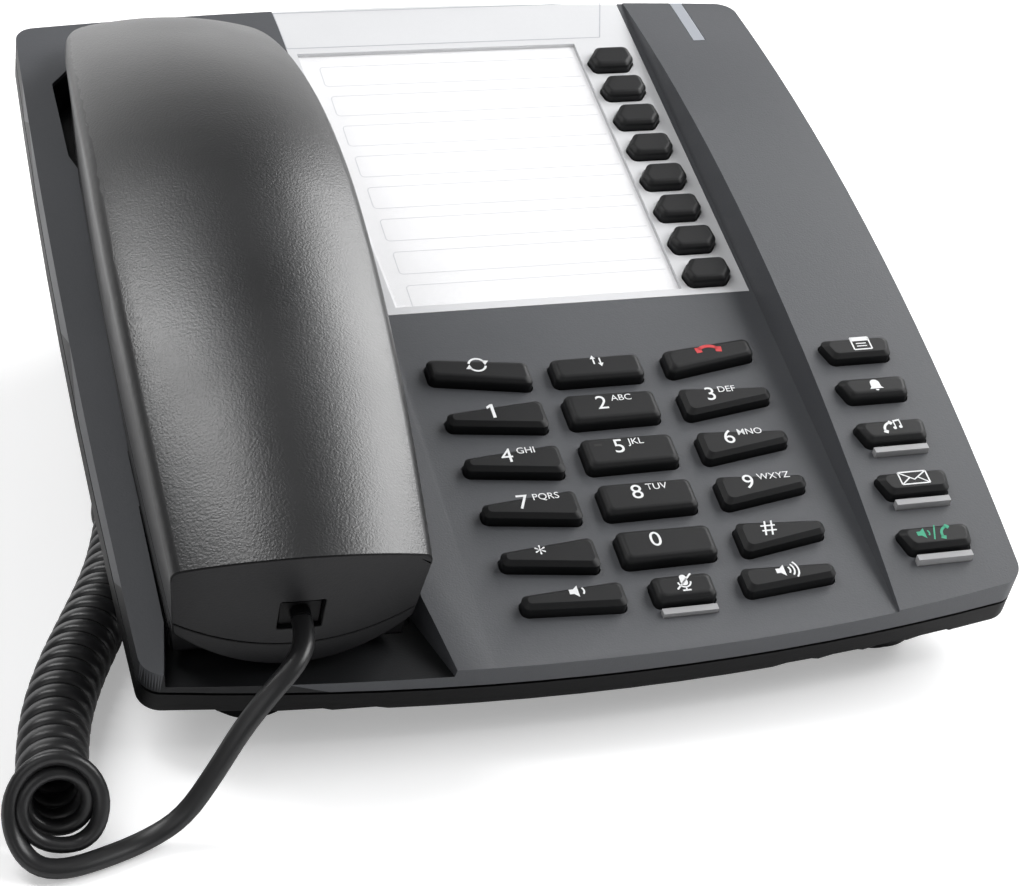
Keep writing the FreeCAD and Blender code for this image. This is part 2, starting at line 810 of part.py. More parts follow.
def desk_stand():
    """Hollow wedge under the rear that carries the body at its tilt, with ribs inside."""
    base = rear_pad_thickness - 1.0
    front = on_desk(stand_front_y, -belly_depth)
    rear = on_desk(stand_rear_y, -belly_depth)
    profile = [front, (stand_foot_front, base), (stand_foot_rear, base), rear]
    inner = inset_polygon(profile, stand_wall)
    lift = 30.0
    over = [(y - lift * math.sin(tilt), z + lift) for y, z in (inner[0], inner[3])]
    shell = side_prism(profile, stand_left_x, stand_right_x)
    hollow = side_prism([over[0], inner[0], inner[1], inner[2], inner[3], over[1]],
                        stand_left_x + stand_wall, stand_right_x - stand_wall)
    shell = shell.cut(hollow)
    step = (stand_right_x - stand_left_x) / (stand_rib_count + 1)
    ribs = []
    for i in range(stand_rib_count):
        x = stand_left_x + (i + 1) * step
        ribs.append(side_prism(inset_polygon(profile, 0.5), x - 0.9, x + 0.9))
    seats = stand_pad(2.0, base, base + 3)
    recesses = stand_pad(0.1, -5, rear_pad_thickness)
    return lay_flat(shell.fuse(ribs + seats).cut(recesses).removeSplitter())


# Inner parts of the body

mat_base_z = -panel_wall - key_play - key_lip_thickness - key_travel - dome_gap - dome_height - mat_thickness


def boss_clearances():
    return [Part.makeCylinder(screw_boss_radius + 0.5, 40, Vector(x, y, -30)) for x, y in screw_spots]


def circuit_board():
    outline = [(board_left_x, board_front_y),
               ((board_left_x + board_right_x) / 2, board_front_y - 3),
               (board_right_x, board_front_y + 3), (board_right_x, board_rear_y),
               (board_left_x + 9, board_rear_y), (board_left_x, board_rear_y - 10)]
    low = mat_base_z - board_thickness
    board = loft([polygon_wire(outline, low), polygon_wire(outline, mat_base_z)])
    return board.cut(boss_clearances())


def keypad_mat():
    left = board_left_x + mat_margin
    right = board_right_x - mat_margin
    front = board_front_y + mat_margin
    outline = [(left, front), ((left + right) / 2, front - 3), (right, front + 3),
               (right, mat_strip_y - 10), (mat_strip_end_x, mat_strip_y),
               (mat_strip_end_x, board_rear_y - mat_margin), (mat_strip_x, board_rear_y - mat_margin),
               (mat_strip_x, mat_strip_y), (left, mat_strip_y)]
    top = mat_base_z + mat_thickness
    sheet = loft([polygon_wire(outline, mat_base_z), polygon_wire(outline, top)])
    domes = []
    for group in (panel_keys, wing_keys, memory_keys):
        for points in group.values():
            x = sum(p[0] for p in points) / len(points)
            y = sum(p[1] for p in points) / len(points)
            domes.append(Part.makeCone(dome_foot_radius, dome_top_radius, dome_height + 0.2,
                                       Vector(x, y, top - 0.2)))
    return sheet.fuse(domes).cut(boss_clearances()).removeSplitter()


def revolved(profile, x, y):
    """Solid of revolution about an upright axis, from (radius, z) points."""
    loop = Part.makePolygon([Vector(x + r, y, z) for r, z in profile + profile[:1]])
    return Part.Face(loop).revolve(Vector(x, y, 0), Vector(0, 0, 1), 360)


def loudspeaker():
    x = grille_x + speaker_offset
    y = grille_start_y + (grille_rows - 1) * grille_pitch / 2
    top = arch_height(y - speaker_radius, cradle_rise) - panel_wall - 0.3
    return revolved([
        (0.0, top - 2.2), (6.0, top - 2.6), (speaker_radius - 3.0, top - 0.4), (speaker_radius - 1.0, top),
        (speaker_radius, top), (speaker_radius, top - 1.6), (speaker_radius - 4.0, top - 2.4),
        (speaker_magnet_radius + 1.0, top - 4.4), (speaker_magnet_radius, top - 4.4),
        (speaker_magnet_radius, top - speaker_height), (0.0, top - speaker_height)], x, y)


hook_top_z = ear_bottom_z - hook_gap
hook_foot_z = -ear_pocket_depth - pocket_wall - hook_gap - hook_travel


def hook_lever():
    return hook_block(0, hook_foot_z - 1.2, hook_top_z).fuse(
        hook_block(1.6, hook_foot_z - 1.2, hook_foot_z)).removeSplitter()


def hook_switch():
    return box(hook_x - 6.5, hook_x + 6.5, hook_y - 3.3, hook_y + 3.3, belly_floor_z, hook_foot_z - 1.3)


def jack_block(width, height, length, plug_width, plug_height, depth):
    """Modular socket drawn with its mouth at Y zero, facing towards -Y."""
    block = box(-width / 2, width / 2, 0, length, -height / 2, height / 2 + latch_height / 2)
    grow = jack_clearance
    mouth = box(-plug_width / 2 - grow, plug_width / 2 + grow, -1, depth, -plug_height / 2 - grow,
                plug_height / 2 + grow)
    latch = box(-latch_width / 2, latch_width / 2, -1, depth, plug_height / 2,
                plug_height / 2 + latch_height)
    return block.cut(mouth.fuse(latch))


def moved(shape, x, y, z):
    copy = shape.copy()
    copy.translate(Vector(x, y, z))
    return copy


def small_jack():
    return jack_block(jack_block_width, jack_block_height, jack_block_length, handset_plug_width,
                      handset_plug_height, handset_plug_length)


def small_plug():
    """Modular plug with its latch and the end of the cord's jacket, in the socket's frame."""
    half_w = handset_plug_width / 2
    half_h = handset_plug_height / 2
    length = handset_plug_length
    body = box(-half_w, half_w, -1.5, length - 0.5, -half_h, half_h - 0.6)
    profile = [(length - 1.0, half_h - 0.8), (length - 1.0, half_h), (2.0, half_h + 0.7),
               (0.5, half_h + 0.7), (0.5, half_h - 0.1)]
    latch = side_prism(profile, -latch_width / 2 + 0.3, latch_width / 2 - 0.3)
    sleeve = Part.makeCylinder(cord_diameter / 2, 2.5, Vector(0, -3.5, 0), Vector(0, 1, 0))
    return body.fuse([latch, sleeve]).removeSplitter()


def base_place(shape):
    return moved(shape, bay_jack_x, bay_front_y + belly_draft + floor_wall + 0.3, jack_z)


def line_jack():
    block = jack_block(line_block_width, jack_block_height, line_block_length,
                       line_plug_width, line_plug_height, line_plug_length)
    block.rotate(Vector(0, 0, 0), Vector(0, 0, 1), 180)
    return moved(block, line_jack_x, belly_rear_y - belly_draft - floor_wall - 0.3, jack_z)


def message_lamp():
    return lamp_skin(0, -upper_skirt + 1.2).common(top_form(0, 0))


def label_window():
    rear = body_depth - header_depth - frame_border
    return [(label_left_front_x + frame_border, label_front_y + frame_border),
            (window_right_x, label_front_y + frame_border), (window_right_x, rear),
            (label_left_rear_x + frame_border + 0.8, rear)]


def label_frame():
    field = label_field(0, -frame_thickness, 0.0).common(body_slab(0.3, -20, 20))
    window = label_window()
    ledge = inset_polygon(window, -1.4)
    deep = loft([polygon_wire(window, -frame_thickness - 1), polygon_wire(window, 3)])
    shelf = loft([polygon_wire(ledge, -cover_thickness - paper_thickness), polygon_wire(ledge, 3)])
    holes = []
    for outline in memory_keys.values():
        holes.append(prism(inset_polygon(outline, -key_gap), key_corner + key_gap, -5, 5))
    return field.cut([deep, shelf] + holes).removeSplitter()


def label_paper():
    ledge = inset_polygon(label_window(), -1.4 + fit_gap)
    low = -cover_thickness - paper_thickness
    return loft([polygon_wire(ledge, low), polygon_wire(ledge, low + paper_thickness)])


def label_cover():
    ledge = inset_polygon(label_window(), -1.4 + fit_gap)
    return loft([polygon_wire(ledge, -cover_thickness), polygon_wire(inset_polygon(ledge, 0.4), 0.1)])


# Handset, drawn straight along Y and then turned a little

def turned(shape):
    copy = shape.copy()
    copy.rotate(Vector(handset_axis_x, body_depth / 2, 0), Vector(0, 0, 1), handset_turn)
    return copy


def back_height(y):
    """Height of the handset's back along its middle."""
    reach = handset_back_middle_y - handset_front_y
    rise = handset_back_middle_z - handset_back_front_z
    radius = (reach * reach + rise * rise) / (2 * rise)
    return handset_back_middle_z - radius + math.sqrt(radius * radius - (y - handset_back_middle_y) ** 2)


def back_stations(inset):
    """Distance, half width, back height and crown: a long bowed grip, then a domed rear end."""
    full = handset_half_width
    front = handset_front_half_width
    stations = []
    for i in range(back_section_count):
        share = i / (back_section_count - 1)
        y = handset_front_y - 4.0 + share * (dome_start_y - handset_front_y + 4.0)
        half = front + (full - front) * math.sin(math.pi / 2 * share)
        stations.append((y, half - inset, back_height(y) - inset, handset_crown))
    length = handset_rear_y - dome_start_y
    for i in range(1, dome_section_count + 1):
        turn = math.radians(80.0) * i / dome_section_count
        y = dome_start_y + (length - inset) * math.sin(turn) / math.sin(math.radians(80.0))
        half = full * math.cos(turn) ** dome_width_power
        height = (back_height(y) - handset_base_z) * math.cos(turn) ** dome_height_power
        half = max(half - inset, 2.5)
        crown = handset_crown * math.cos(turn) ** dome_crown_power
        height = max(height - inset, dome_lip_height + crown)
        stations.append((y, half, handset_base_z + height, crown))
    return stations


def back_section(y, half, top, crown, base):
    """Closed section: crowned top, rounded edges, sides drawn in to a flat base."""
    radius = (half * half + crown * crown) / (2 * crown)
    reach = handset_edge_reach * half / handset_half_width
    slope = math.asin(half / radius)
    edge_z = top - crown
    inner = half - reach * math.cos(slope)
    inner_z = top - radius + math.sqrt(radius * radius - inner * inner)
    turn = math.pi / 4 + slope / 2
    depth = reach * (1 - math.sin(turn)) / math.cos(turn)
    middle = half - depth * math.cos(turn - slope)
    middle_z = edge_z - depth * math.sin(turn - slope)
    x = handset_axis_x
    foot = handset_base_ratio * half
    sides = []
    for way in (1, -1):
        sides.append([Vector(x + way * foot, y, base), Vector(x + way * half, y, edge_z - reach),
                      Vector(x + way * middle, y, middle_z), Vector(x + way * inner, y, inner_z)])
    right, left = sides
    return Part.Wire([
        Part.LineSegment(right[0], right[1]).toShape(),
        Part.Arc(right[1], right[2], right[3]).toShape(),
        Part.Arc(right[3], Vector(x, y, top), left[3]).toShape(),
        Part.Arc(left[3], left[2], left[1]).toShape(),
        Part.LineSegment(left[1], left[0]).toShape(),
        Part.LineSegment(left[0], right[0]).toShape(),
    ])


def back_form(inset):
    wires = []
    for y, half, top, crown in back_stations(inset):
        wires.append(back_section(y, half, top, crown, handset_base_z))
    grip = loft(wires[:back_section_count], False)
    dome = loft(wires[back_section_count - 1:], False)
    return grip.fuse(dome)


def under_form(inset):
    """Solid under the back's base, in the same plan, moved inward for the inner side."""
    points_right = []
    points_left = []
    for y, half, top, crown in back_stations(inset):
        reach = handset_base_ratio * half - under_step
        points_right.append(Vector(handset_axis_x + reach, y, -10))
        points_left.append(Vector(handset_axis_x - reach, y, -10))
    sides = []
    for points in (points_right, points_left):
        curve = Part.BSplineCurve()
        curve.interpolate(points)
        sides.append(curve.toShape())
    front = Part.LineSegment(points_left[0], points_right[0]).toShape()
    rear = Part.LineSegment(points_right[-1], points_left[-1]).toShape()
    plan = Part.Wire([front, sides[0], rear, sides[1]])
    return Part.Face(plan).extrude(Vector(0, 0, handset_base_z + 10.2))


grip_arch_edge = 5


def side_profile(inset):
    """Everything above the handset's underside: chin, mouth block, arched grip, ear block."""
    mouth = mouth_bottom_z + inset
    ear = ear_bottom_z + inset
    chin = chin_z + inset
    grip = grip_bottom_z + inset
    x = handset_axis_x - 40
    points = [(-20.0, 60.0), (-20.0, chin), (mouth_front_y - 5.0 + inset, chin),
              (mouth_front_y + inset, mouth), (mouth_rear_y - inset, mouth),
              (mouth_rear_y + block_slope - inset, grip_end_z + inset),
              (ear_front_y - block_slope + inset, grip_end_z + inset), (ear_front_y + inset, ear),
              (ear_rear_y - inset, ear), (handset_rear_y + 1.0 - inset, handset_base_z),
              (handset_rear_y + 10.0, 60.0)]
    vectors = [Vector(x, y, z) for y, z in points]
    middle = Vector(x, (mouth_rear_y + ear_front_y) / 2, grip)
    edges = []
    for i in range(len(vectors)):
        start = vectors[i]
        end = vectors[(i + 1) % len(vectors)]
        if i == grip_arch_edge:
            edges.append(Part.Arc(start, middle, end).toShape())
        else:
            edges.append(Part.LineSegment(start, end).toShape())
    return Part.Face(Part.Wire(edges)).extrude(Vector(80, 0, 0))


def chin_cutter(inset):
    """Everything under the chin, which bows up to the handset's sides."""
    x = handset_axis_x
    half = handset_half_width
    left = Vector(x - half, -20, chin_side_z + inset)
    right = Vector(x + half, -20, chin_side_z + inset)
    far_left = Vector(x - half, -20, -20)
    far_right = Vector(x + half, -20, -20)
    loop = Part.Wire([
        Part.Arc(left, Vector(x, -20, chin_z + inset), right).toShape(),
        Part.LineSegment(right, far_right).toShape(), Part.LineSegment(far_right, far_left).toShape(),
        Part.LineSegment(far_left, left).toShape()])
    return Part.Face(loop).extrude(Vector(0, 20 + mouth_front_y - 1.0 + inset, 0))


def block_sides(inset):
    """The blocks under the handset narrow downward."""
    half = handset_half_width * handset_base_ratio - inset
    x = handset_axis_x
    low = -8.0
    taper = block_taper * (handset_base_z - low) / (handset_base_z - ear_bottom_z)
    loop = Part.makePolygon([
        Vector(x - half + taper, -20, low), Vector(x + half - taper, -20, low),
        Vector(x + half + 0.2, -20, handset_base_z), Vector(x + 45, -20, handset_base_z + 6),
        Vector(x + 45, -20, 60), Vector(x - 45, -20, 60), Vector(x - 45, -20, handset_base_z + 6),
        Vector(x - half - 0.2, -20, handset_base_z), Vector(x - half + taper, -20, low)])
    return Part.Face(loop).extrude(Vector(0, past_end, 0))


def end_cutter(shift):
    """Everything in front of the bowed, leaning front end of the handset."""
    half = 40.0
    bulge = handset_end_bulge * (half / handset_front_half_width) ** 2
    x = handset_axis_x
    wires = []
    for z in (-12.0, 60.0):
        y = handset_front_y + shift + handset_end_lean * (handset_back_front_z - z)
        left = Vector(x - half, y + bulge, z)
        right = Vector(x + half, y + bulge, z)
        far_left = Vector(x - half, y - 60, z)
        far_right = Vector(x + half, y - 60, z)
        wires.append(Part.Wire([
            Part.Arc(left, Vector(x, y, z), right).toShape(),
            Part.LineSegment(right, far_right).toShape(),
            Part.LineSegment(far_right, far_left).toShape(),
            Part.LineSegment(far_left, left).toShape()]))
    return loft(wires)


def block_trims(inset):
    """Everything around the two blocks that would foul the pockets they lie in."""
    trims = []
    pockets = ((mouth_pocket(-block_gap - inset), mouth_front_y - 2.0, mouth_rear_y + 12.0),
               (ear_pocket(-block_gap - inset), ear_front_y - 8.0, ear_rear_y + 12.0))
    for pocket, near, far in pockets:
        pocket.rotate(Vector(handset_axis_x, body_depth / 2, 0), Vector(0, 0, 1), -handset_turn)
        around = box(handset_axis_x - 45, handset_axis_x + 45, near, far, -20, grip_end_z + inset)
        trims.append(around.cut(pocket))
    return trims


def handset_form(inset):
    whole = back_form(inset).fuse(under_form(inset))
    whole = whole.common(side_profile(inset)).common(block_sides(inset))
    return whole.cut([end_cutter(inset), chin_cutter(inset)] + block_trims(inset))


def seam_side(upward, gap):
    """Everything above or below the curved parting surface between the handset's shells."""
    x = handset_axis_x
    half = handset_half_width
    rise = seam_side_z - seam_middle_z
    radius = (half * half + rise * rise) / (2 * rise)
    reach = 40.0
    side = seam_middle_z + radius - math.sqrt(radius * radius - reach * reach)
    left = Vector(x - reach, -20, side + gap)
    middle = Vector(x, -20, seam_middle_z + gap)
    right = Vector(x + reach, -20, side + gap)
    level = 70.0 if upward else -20.0
    far_right = Vector(x + reach, -20, level)
    far_left = Vector(x - reach, -20, level)
    loop = Part.Wire([
        Part.Arc(left, middle, right).toShape(), Part.LineSegment(right, far_right).toShape(),
        Part.LineSegment(far_right, far_left).toShape(), Part.LineSegment(far_left, left).toShape()])
    return Part.Face(loop).extrude(Vector(0, past_end + 20, 0))


def handset_jack_y():
    """Front face of the socket, just behind the handset's end wall."""
    face = handset_front_y + handset_end_lean * (handset_back_front_z - handset_jack_z)
    corner = handset_end_bulge * (jack_block_width / 2 / handset_front_half_width) ** 2
    return face + handset_wall + corner + 0.5


def jack_opening():
    half_w = handset_plug_width / 2 + opening_margin
    half_h = handset_plug_height / 2 + opening_margin
    x = handset_axis_x
    return box(x - half_w, x + half_w, -5, handset_jack_y() + 0.1, handset_jack_z - half_h,
               handset_jack_z + half_h + latch_height)


def ear_holes():
    x = handset_axis_x
    holes = [Part.makeCylinder(1.1, 10, Vector(x, receiver_y, ear_bottom_z - 3))]
    for count, radius in ((6, 4.6), (12, 9.2)):
        for i in range(count):
            turn = 2 * math.pi * i / count
            spot = Vector(x + radius * math.cos(turn), receiver_y + radius * math.sin(turn),
                          ear_bottom_z - 3)
            holes.append(Part.makeCylinder(1.1, 5.5, spot))
    return holes


def mouth_slots():
    x = handset_axis_x
    return [box(x + dx - 0.6, x + dx + 0.6, microphone_y - 3.5, microphone_y + 3.5, mouth_bottom_z - 3,
                mouth_bottom_z + handset_wall + 0.5) for dx in (-5.0, -2.5, 0.0, 2.5, 5.0)]


def handset_shells():
    """The two shells; the grip's floor rises above the seam and belongs to the front one."""
    shell = handset_form(0).cut(handset_form(handset_wall))
    half = handset_half_width * handset_base_ratio - handset_wall
    floor_zone = box(handset_axis_x - half, handset_axis_x + half, mouth_rear_y - 5, ear_front_y + 5,
                     mouth_bottom_z, grip_bottom_z + handset_wall + 0.1)
    back = shell.common(seam_side(True, seam_gap)).cut([floor_zone, jack_opening()])
    front = shell.common(seam_side(False, 0).fuse(floor_zone))
    front = front.cut([jack_opening()] + ear_holes() + mouth_slots())
    return turned(back), turned(front)


def earpiece_receiver():
    base = ear_bottom_z + handset_wall + 0.25
    return turned(revolved([
        (0.0, base), (receiver_radius, base), (receiver_radius, base + 0.35 * receiver_height),
        (0.8 * receiver_radius, base + 0.5 * receiver_height),
        (0.8 * receiver_radius, base + receiver_height),
        (0.0, base + receiver_height)], handset_axis_x, receiver_y))


def microphone():
    base = mouth_bottom_z + handset_wall + 0.25
    foot = Vector(handset_axis_x, microphone_y, base)
    return turned(Part.makeCylinder(microphone_radius, microphone_height, foot))


def handset_place(shape):
    return turned(moved(shape, handset_axis_x, handset_jack_y(), handset_jack_z))


def handset_weight():
    y = (mouth_rear_y + ear_front_y) / 2
    x = handset_axis_x
    base = grip_bottom_z + handset_wall + 0.15
    bar = box(x - weight_width / 2, x + weight_width / 2, y - weight_length / 2,
              y + weight_length / 2, base, base + weight_thickness)
    return turned(bar.makeFillet(2.0, upright_edges(bar)))


# Handset cord

def tilted(shape):
    """From the untilted body to its posture on the desk."""
    copy = shape.copy()
    copy.rotate(Vector(0, 0, 0), Vector(1, 0, 0), desk_tilt)
    copy.translate(Vector(0, 0, panel_rest_z))
    return copy


def on_body(shape):
    """The posture on the desk, with the telephone centred over the origin."""
    copy = tilted(shape)
    copy.translate(Vector(0, -depth_shift, 0))
    return copy


def tube(name, points, radius):
    """Straight runs joined by the largest tangent arcs that they allow."""
    route = [Vector(*p) for p in points]
    edges = []
    start = route[0]
    bends = []
    for before, corner, after in zip(route, route[1:], route[2:]):
        back = before - corner
        ahead = after - corner
        half = back.getAngle(ahead) / 2
        reach = 0.45 * min(back.Length, ahead.Length)
        bend = reach * math.tan(half)
        back.normalize()
        ahead.normalize()
        inward = (back + ahead).normalize()
        middle = corner + inward * (bend / math.sin(half) - bend)
        enter = corner + back * reach
        leave = corner + ahead * reach
        edges.append(Part.LineSegment(start, enter).toShape())
        edges.append(Part.Arc(enter, middle, leave).toShape())
        bends.append(bend)
        start = leave
    edges.append(Part.LineSegment(start, route[-1]).toShape())
    spine = Part.Wire(edges)
    direction = route[1] - route[0]
    section = Part.Wire([Part.makeCircle(radius, route[0], direction)])
    solid = spine.makePipeShell([section], True, False, 2)
    expected = math.pi * radius * radius * spine.Length
    print(name, "length %.1f" % spine.Length, "bends", ["%.1f" % b for b in bends],
          "volume %.3f" % (solid.Volume / expected))
    return solid


def placed_point(place, y):
    """Where a point on a socket's axis ends up on the desk."""
    return on_body(place(Part.Vertex(Vector(0, y, 0)))).Point


sleeve_end = -3.5


def cord_lead():
    start = placed_point(handset_place, sleeve_end)
    ahead = (start - placed_point(handset_place, 0.0)).normalize()
    points = [start, start + ahead * plug_run] + lead_points
    return tube("cord_lead", points, cord_diameter / 2)


def cord_coil():
    return tube("cord_coil", coil_points, coil_diameter / 2)


def cord_tail():
    end = placed_point(base_place, sleeve_end)
    behind = (end - placed_point(base_place, 0.0)).normalize()
    points = [coil_points[-1], tail_point, end + behind * base_run, end]
    return tube("cord_tail", points, cord_diameter / 2)


def save(name, shape):
    shape.exportStep("parts/%s.step" % name)
    print(name, len(shape.Solids), "valid" if shape.isValid() else "NOT VALID", "%.1f" % shape.Volume)


upper = upper_housing()
lower = lower_housing()
back_shell, front_shell = handset_shells()

reach = Part.makeCompound([tilted(upper), tilted(lower), tilted(back_shell)]).optimalBoundingBox()
depth_shift = (reach.YMin + reach.YMax) / 2

pieces = {
    "upper_housing": upper,
    "lower_housing": lower,
    "desk_stand": desk_stand(),
    "rubber_feet": rubber_feet(),
    "housing_screws": housing_screws(),
    "label_frame": label_frame(),
    "label_paper": label_paper(),
    "label_cover": label_cover(),
    "message_lamp_lens": message_lamp(),
    "indicator_lenses": Part.makeCompound(indicator_bars(0, -2.9, indicator_height)),
    "keypad_mat": keypad_mat(),
    "circuit_board": circuit_board(),
    "loudspeaker": loudspeaker(),
    "hook_lever": hook_lever(),
    "hook_switch": hook_switch(),
    "base_handset_jack": base_place(small_jack()),
    "line_jack": line_jack(),
    "handset_back_shell": back_shell,
    "handset_front_shell": front_shell,
    "earpiece_receiver": earpiece_receiver(),
    "microphone": microphone(),
    "handset_weight": handset_weight(),
    "handset_jack": handset_place(small_jack()),
    "handset_plug": handset_place(small_plug()),
    "base_plug": base_place(small_plug()),
}
for name, outline in panel_keys.items():
    pieces[name] = key_solid(name, outline, key_height)
for name, outline in wing_keys.items():
    pieces[name] = key_solid(name, outline, wing_key_height)
for name, outline in memory_keys.items():
    pieces[name] = key_solid(name, outline, memory_key_height)
for name, shape in pieces.items():
    save(name, on_body(shape))
save("cord_lead", cord_lead())
save("cord_coil", cord_coil())
save("cord_tail", cord_tail())
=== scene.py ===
import bpy
import json
import math
from mathutils import Matrix, Vector


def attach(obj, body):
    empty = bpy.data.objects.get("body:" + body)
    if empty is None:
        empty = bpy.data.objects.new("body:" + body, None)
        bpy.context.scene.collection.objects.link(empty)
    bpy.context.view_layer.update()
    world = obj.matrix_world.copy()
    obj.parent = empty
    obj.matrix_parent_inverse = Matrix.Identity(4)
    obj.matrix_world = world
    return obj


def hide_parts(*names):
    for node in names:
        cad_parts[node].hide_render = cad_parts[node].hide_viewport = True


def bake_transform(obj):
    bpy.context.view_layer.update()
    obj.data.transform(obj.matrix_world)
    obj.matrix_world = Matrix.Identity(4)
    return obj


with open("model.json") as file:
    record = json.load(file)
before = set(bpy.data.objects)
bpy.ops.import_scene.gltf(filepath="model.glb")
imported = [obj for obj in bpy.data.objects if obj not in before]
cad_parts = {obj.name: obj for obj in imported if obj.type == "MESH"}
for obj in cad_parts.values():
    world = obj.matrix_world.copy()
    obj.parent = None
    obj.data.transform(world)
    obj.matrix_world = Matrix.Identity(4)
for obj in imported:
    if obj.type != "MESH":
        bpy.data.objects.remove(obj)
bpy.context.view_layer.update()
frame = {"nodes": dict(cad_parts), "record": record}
nodes = frame["nodes"]
scene = bpy.context.scene
print("Frame loaded:", len(nodes), "nodes")

# The body is drawn lying flat, in millimetres: x to the right, y to the rear from the
# front edge, z up from the key panel. This posture stands it on the desk.

posture = {
    "tilt": 16.0,
    "panelRest": 19.0545,
    "rearShift": 100.5815,
}

mm = 0.001
toDesk = (
    Matrix.Scale(mm, 4)
    @ Matrix.Translation((0, -posture["rearShift"], posture["panelRest"]))
    @ Matrix.Rotation(math.radians(posture["tilt"]), 4, "X")
)


def clearSelection():
    if bpy.context.object and bpy.context.object.mode != "OBJECT":
        bpy.ops.object.mode_set(mode="OBJECT")
    bpy.ops.object.select_all(action="DESELECT")


def makeActive(piece):
    clearSelection()
    piece.select_set(True)
    bpy.context.view_layer.objects.active = piece


def place(piece, matrix):
    piece.data.transform(matrix)
    piece.matrix_world = Matrix.Identity(4)


# Camera

cameraView = {
    "lens": 91.40625,
    "sensor": 36.0,
    "nearest": 0.01,
    "location": (-0.162636, -0.492607, 0.307883),
    "right": (0.954702, -0.287481, 0.076802),
    "up": (0.079874, 0.496215, 0.864517),
}


def makeCamera():
    right = Vector(cameraView["right"]).normalized()
    back = right.cross(Vector(cameraView["up"])).normalized()
    up = back.cross(right)
    turn = Matrix((right, up, back)).transposed().to_4x4()
    bpy.ops.object.camera_add()
    camera = bpy.context.object
    camera.data.lens = cameraView["lens"]
    camera.data.sensor_width = cameraView["sensor"]
    camera.data.clip_start = cameraView["nearest"]
    camera.matrix_world = Matrix.Translation(cameraView["location"]) @ turn
    scene.camera = camera


makeCamera()
print("Camera set")


# Light, floor and background

studio = {
    "lampTarget": (0.0, 0.0, 0.04),
    "lamps": [  # name, location, width and height, power
        ("keyLamp", (1.12, -0.20, 0.96), (0.90, 0.90), 16.0),
        ("backRightLamp", (0.93, 0.57, 0.72), (0.65, 0.80), 10.0),
        ("backLeftLamp", (-0.55, 0.37, 1.12), (0.35, 0.85), 7.0),
        ("frontLamp", (-0.85, -0.85, 0.95), (0.80, 0.80), 2.0),
    ],
    "skyTowards": (-0.10, 0.95, -0.30),
    "skySpan": (0.45, 1.0),
    "skyDark": 0.20,
    "skyBright": 1.70,
    "floorSize": 4.0,
    "floorColour": (0.93, 0.93, 0.935),
    "floorRoughness": 0.9,
    "floorSpecular": 0.1,
    "floorGlow": 0.34,
}
white = (1.0, 1.0, 1.0, 1.0)


def makeLamp(name, location, size, power):
    bpy.ops.object.light_add(type="AREA", location=location)
    lamp = bpy.context.object
    lamp.name = name
    lamp.data.shape = "RECTANGLE"
    lamp.data.size = size[0]
    lamp.data.size_y = size[1]
    lamp.data.energy = power
    aim = Vector(studio["lampTarget"]) - Vector(location)
    lamp.rotation_euler = aim.to_track_quat("-Z", "Y").to_euler()


def makeWorld():  # brighter behind the object, and plain white where the camera looks past it
    world = bpy.data.worlds.new("studioWorld")
    scene.world = world
    world.use_nodes = True
    tree = world.node_tree
    tree.nodes.clear()
    output = tree.nodes.new("ShaderNodeOutputWorld")
    mix = tree.nodes.new("ShaderNodeMixShader")
    path = tree.nodes.new("ShaderNodeLightPath")
    sky = tree.nodes.new("ShaderNodeBackground")
    seen = tree.nodes.new("ShaderNodeBackground")
    towards = tree.nodes.new("ShaderNodeTexCoord")
    facing = tree.nodes.new("ShaderNodeVectorMath")
    facing.operation = "DOT_PRODUCT"
    facing.inputs[1].default_value = Vector(studio["skyTowards"]).normalized()
    glow = tree.nodes.new("ShaderNodeMapRange")
    glow.interpolation_type = "SMOOTHSTEP"
    glow.inputs["From Min"].default_value = studio["skySpan"][0]
    glow.inputs["From Max"].default_value = studio["skySpan"][1]
    glow.inputs["To Min"].default_value = studio["skyDark"]
    glow.inputs["To Max"].default_value = studio["skyBright"]
    tree.links.new(towards.outputs["Generated"], facing.inputs[0])
    tree.links.new(facing.outputs["Value"], glow.inputs["Value"])
    tree.links.new(glow.outputs["Result"], sky.inputs["Strength"])
    sky.inputs["Color"].default_value = white
    seen.inputs["Color"].default_value = white
    tree.links.new(path.outputs["Is Camera Ray"], mix.inputs["Fac"])
    tree.links.new(sky.outputs["Background"], mix.inputs[1])
    tree.links.new(seen.outputs["Background"], mix.inputs[2])
    tree.links.new(mix.outputs["Shader"], output.inputs["Surface"])


def makeFloor():
    bpy.ops.mesh.primitive_plane_add(size=studio["floorSize"])
    floor = bpy.context.object
    floor.name = "studioFloor"
    material = bpy.data.materials.new("floorPaper")
    material.use_nodes = True
    tree = material.node_tree
    shader = tree.nodes["Principled BSDF"]
    shader.inputs["Base Color"].default_value = (*studio["floorColour"], 1.0)
    shader.inputs["Roughness"].default_value = studio["floorRoughness"]
    shader.inputs["Specular IOR Level"].default_value = studio["floorSpecular"]
    shader.inputs["Emission Color"].default_value = white
    path = tree.nodes.new("ShaderNodeLightPath")
    lift = tree.nodes.new("ShaderNodeMath")
    lift.operation = "MULTIPLY"
    lift.inputs[1].default_value = studio["floorGlow"]
    tree.links.new(path.outputs["Is Camera Ray"], lift.inputs[0])
    tree.links.new(lift.outputs["Value"], shader.inputs["Emission Strength"])
    floor.data.materials.append(material)


for lamp in studio["lamps"]:
    makeLamp(*lamp)
makeWorld()
makeFloor()
scene.view_settings.view_transform = "Standard"
print("Studio lit")


# Material groups: each gives colours, masks, values and normals, and the shader stays outside

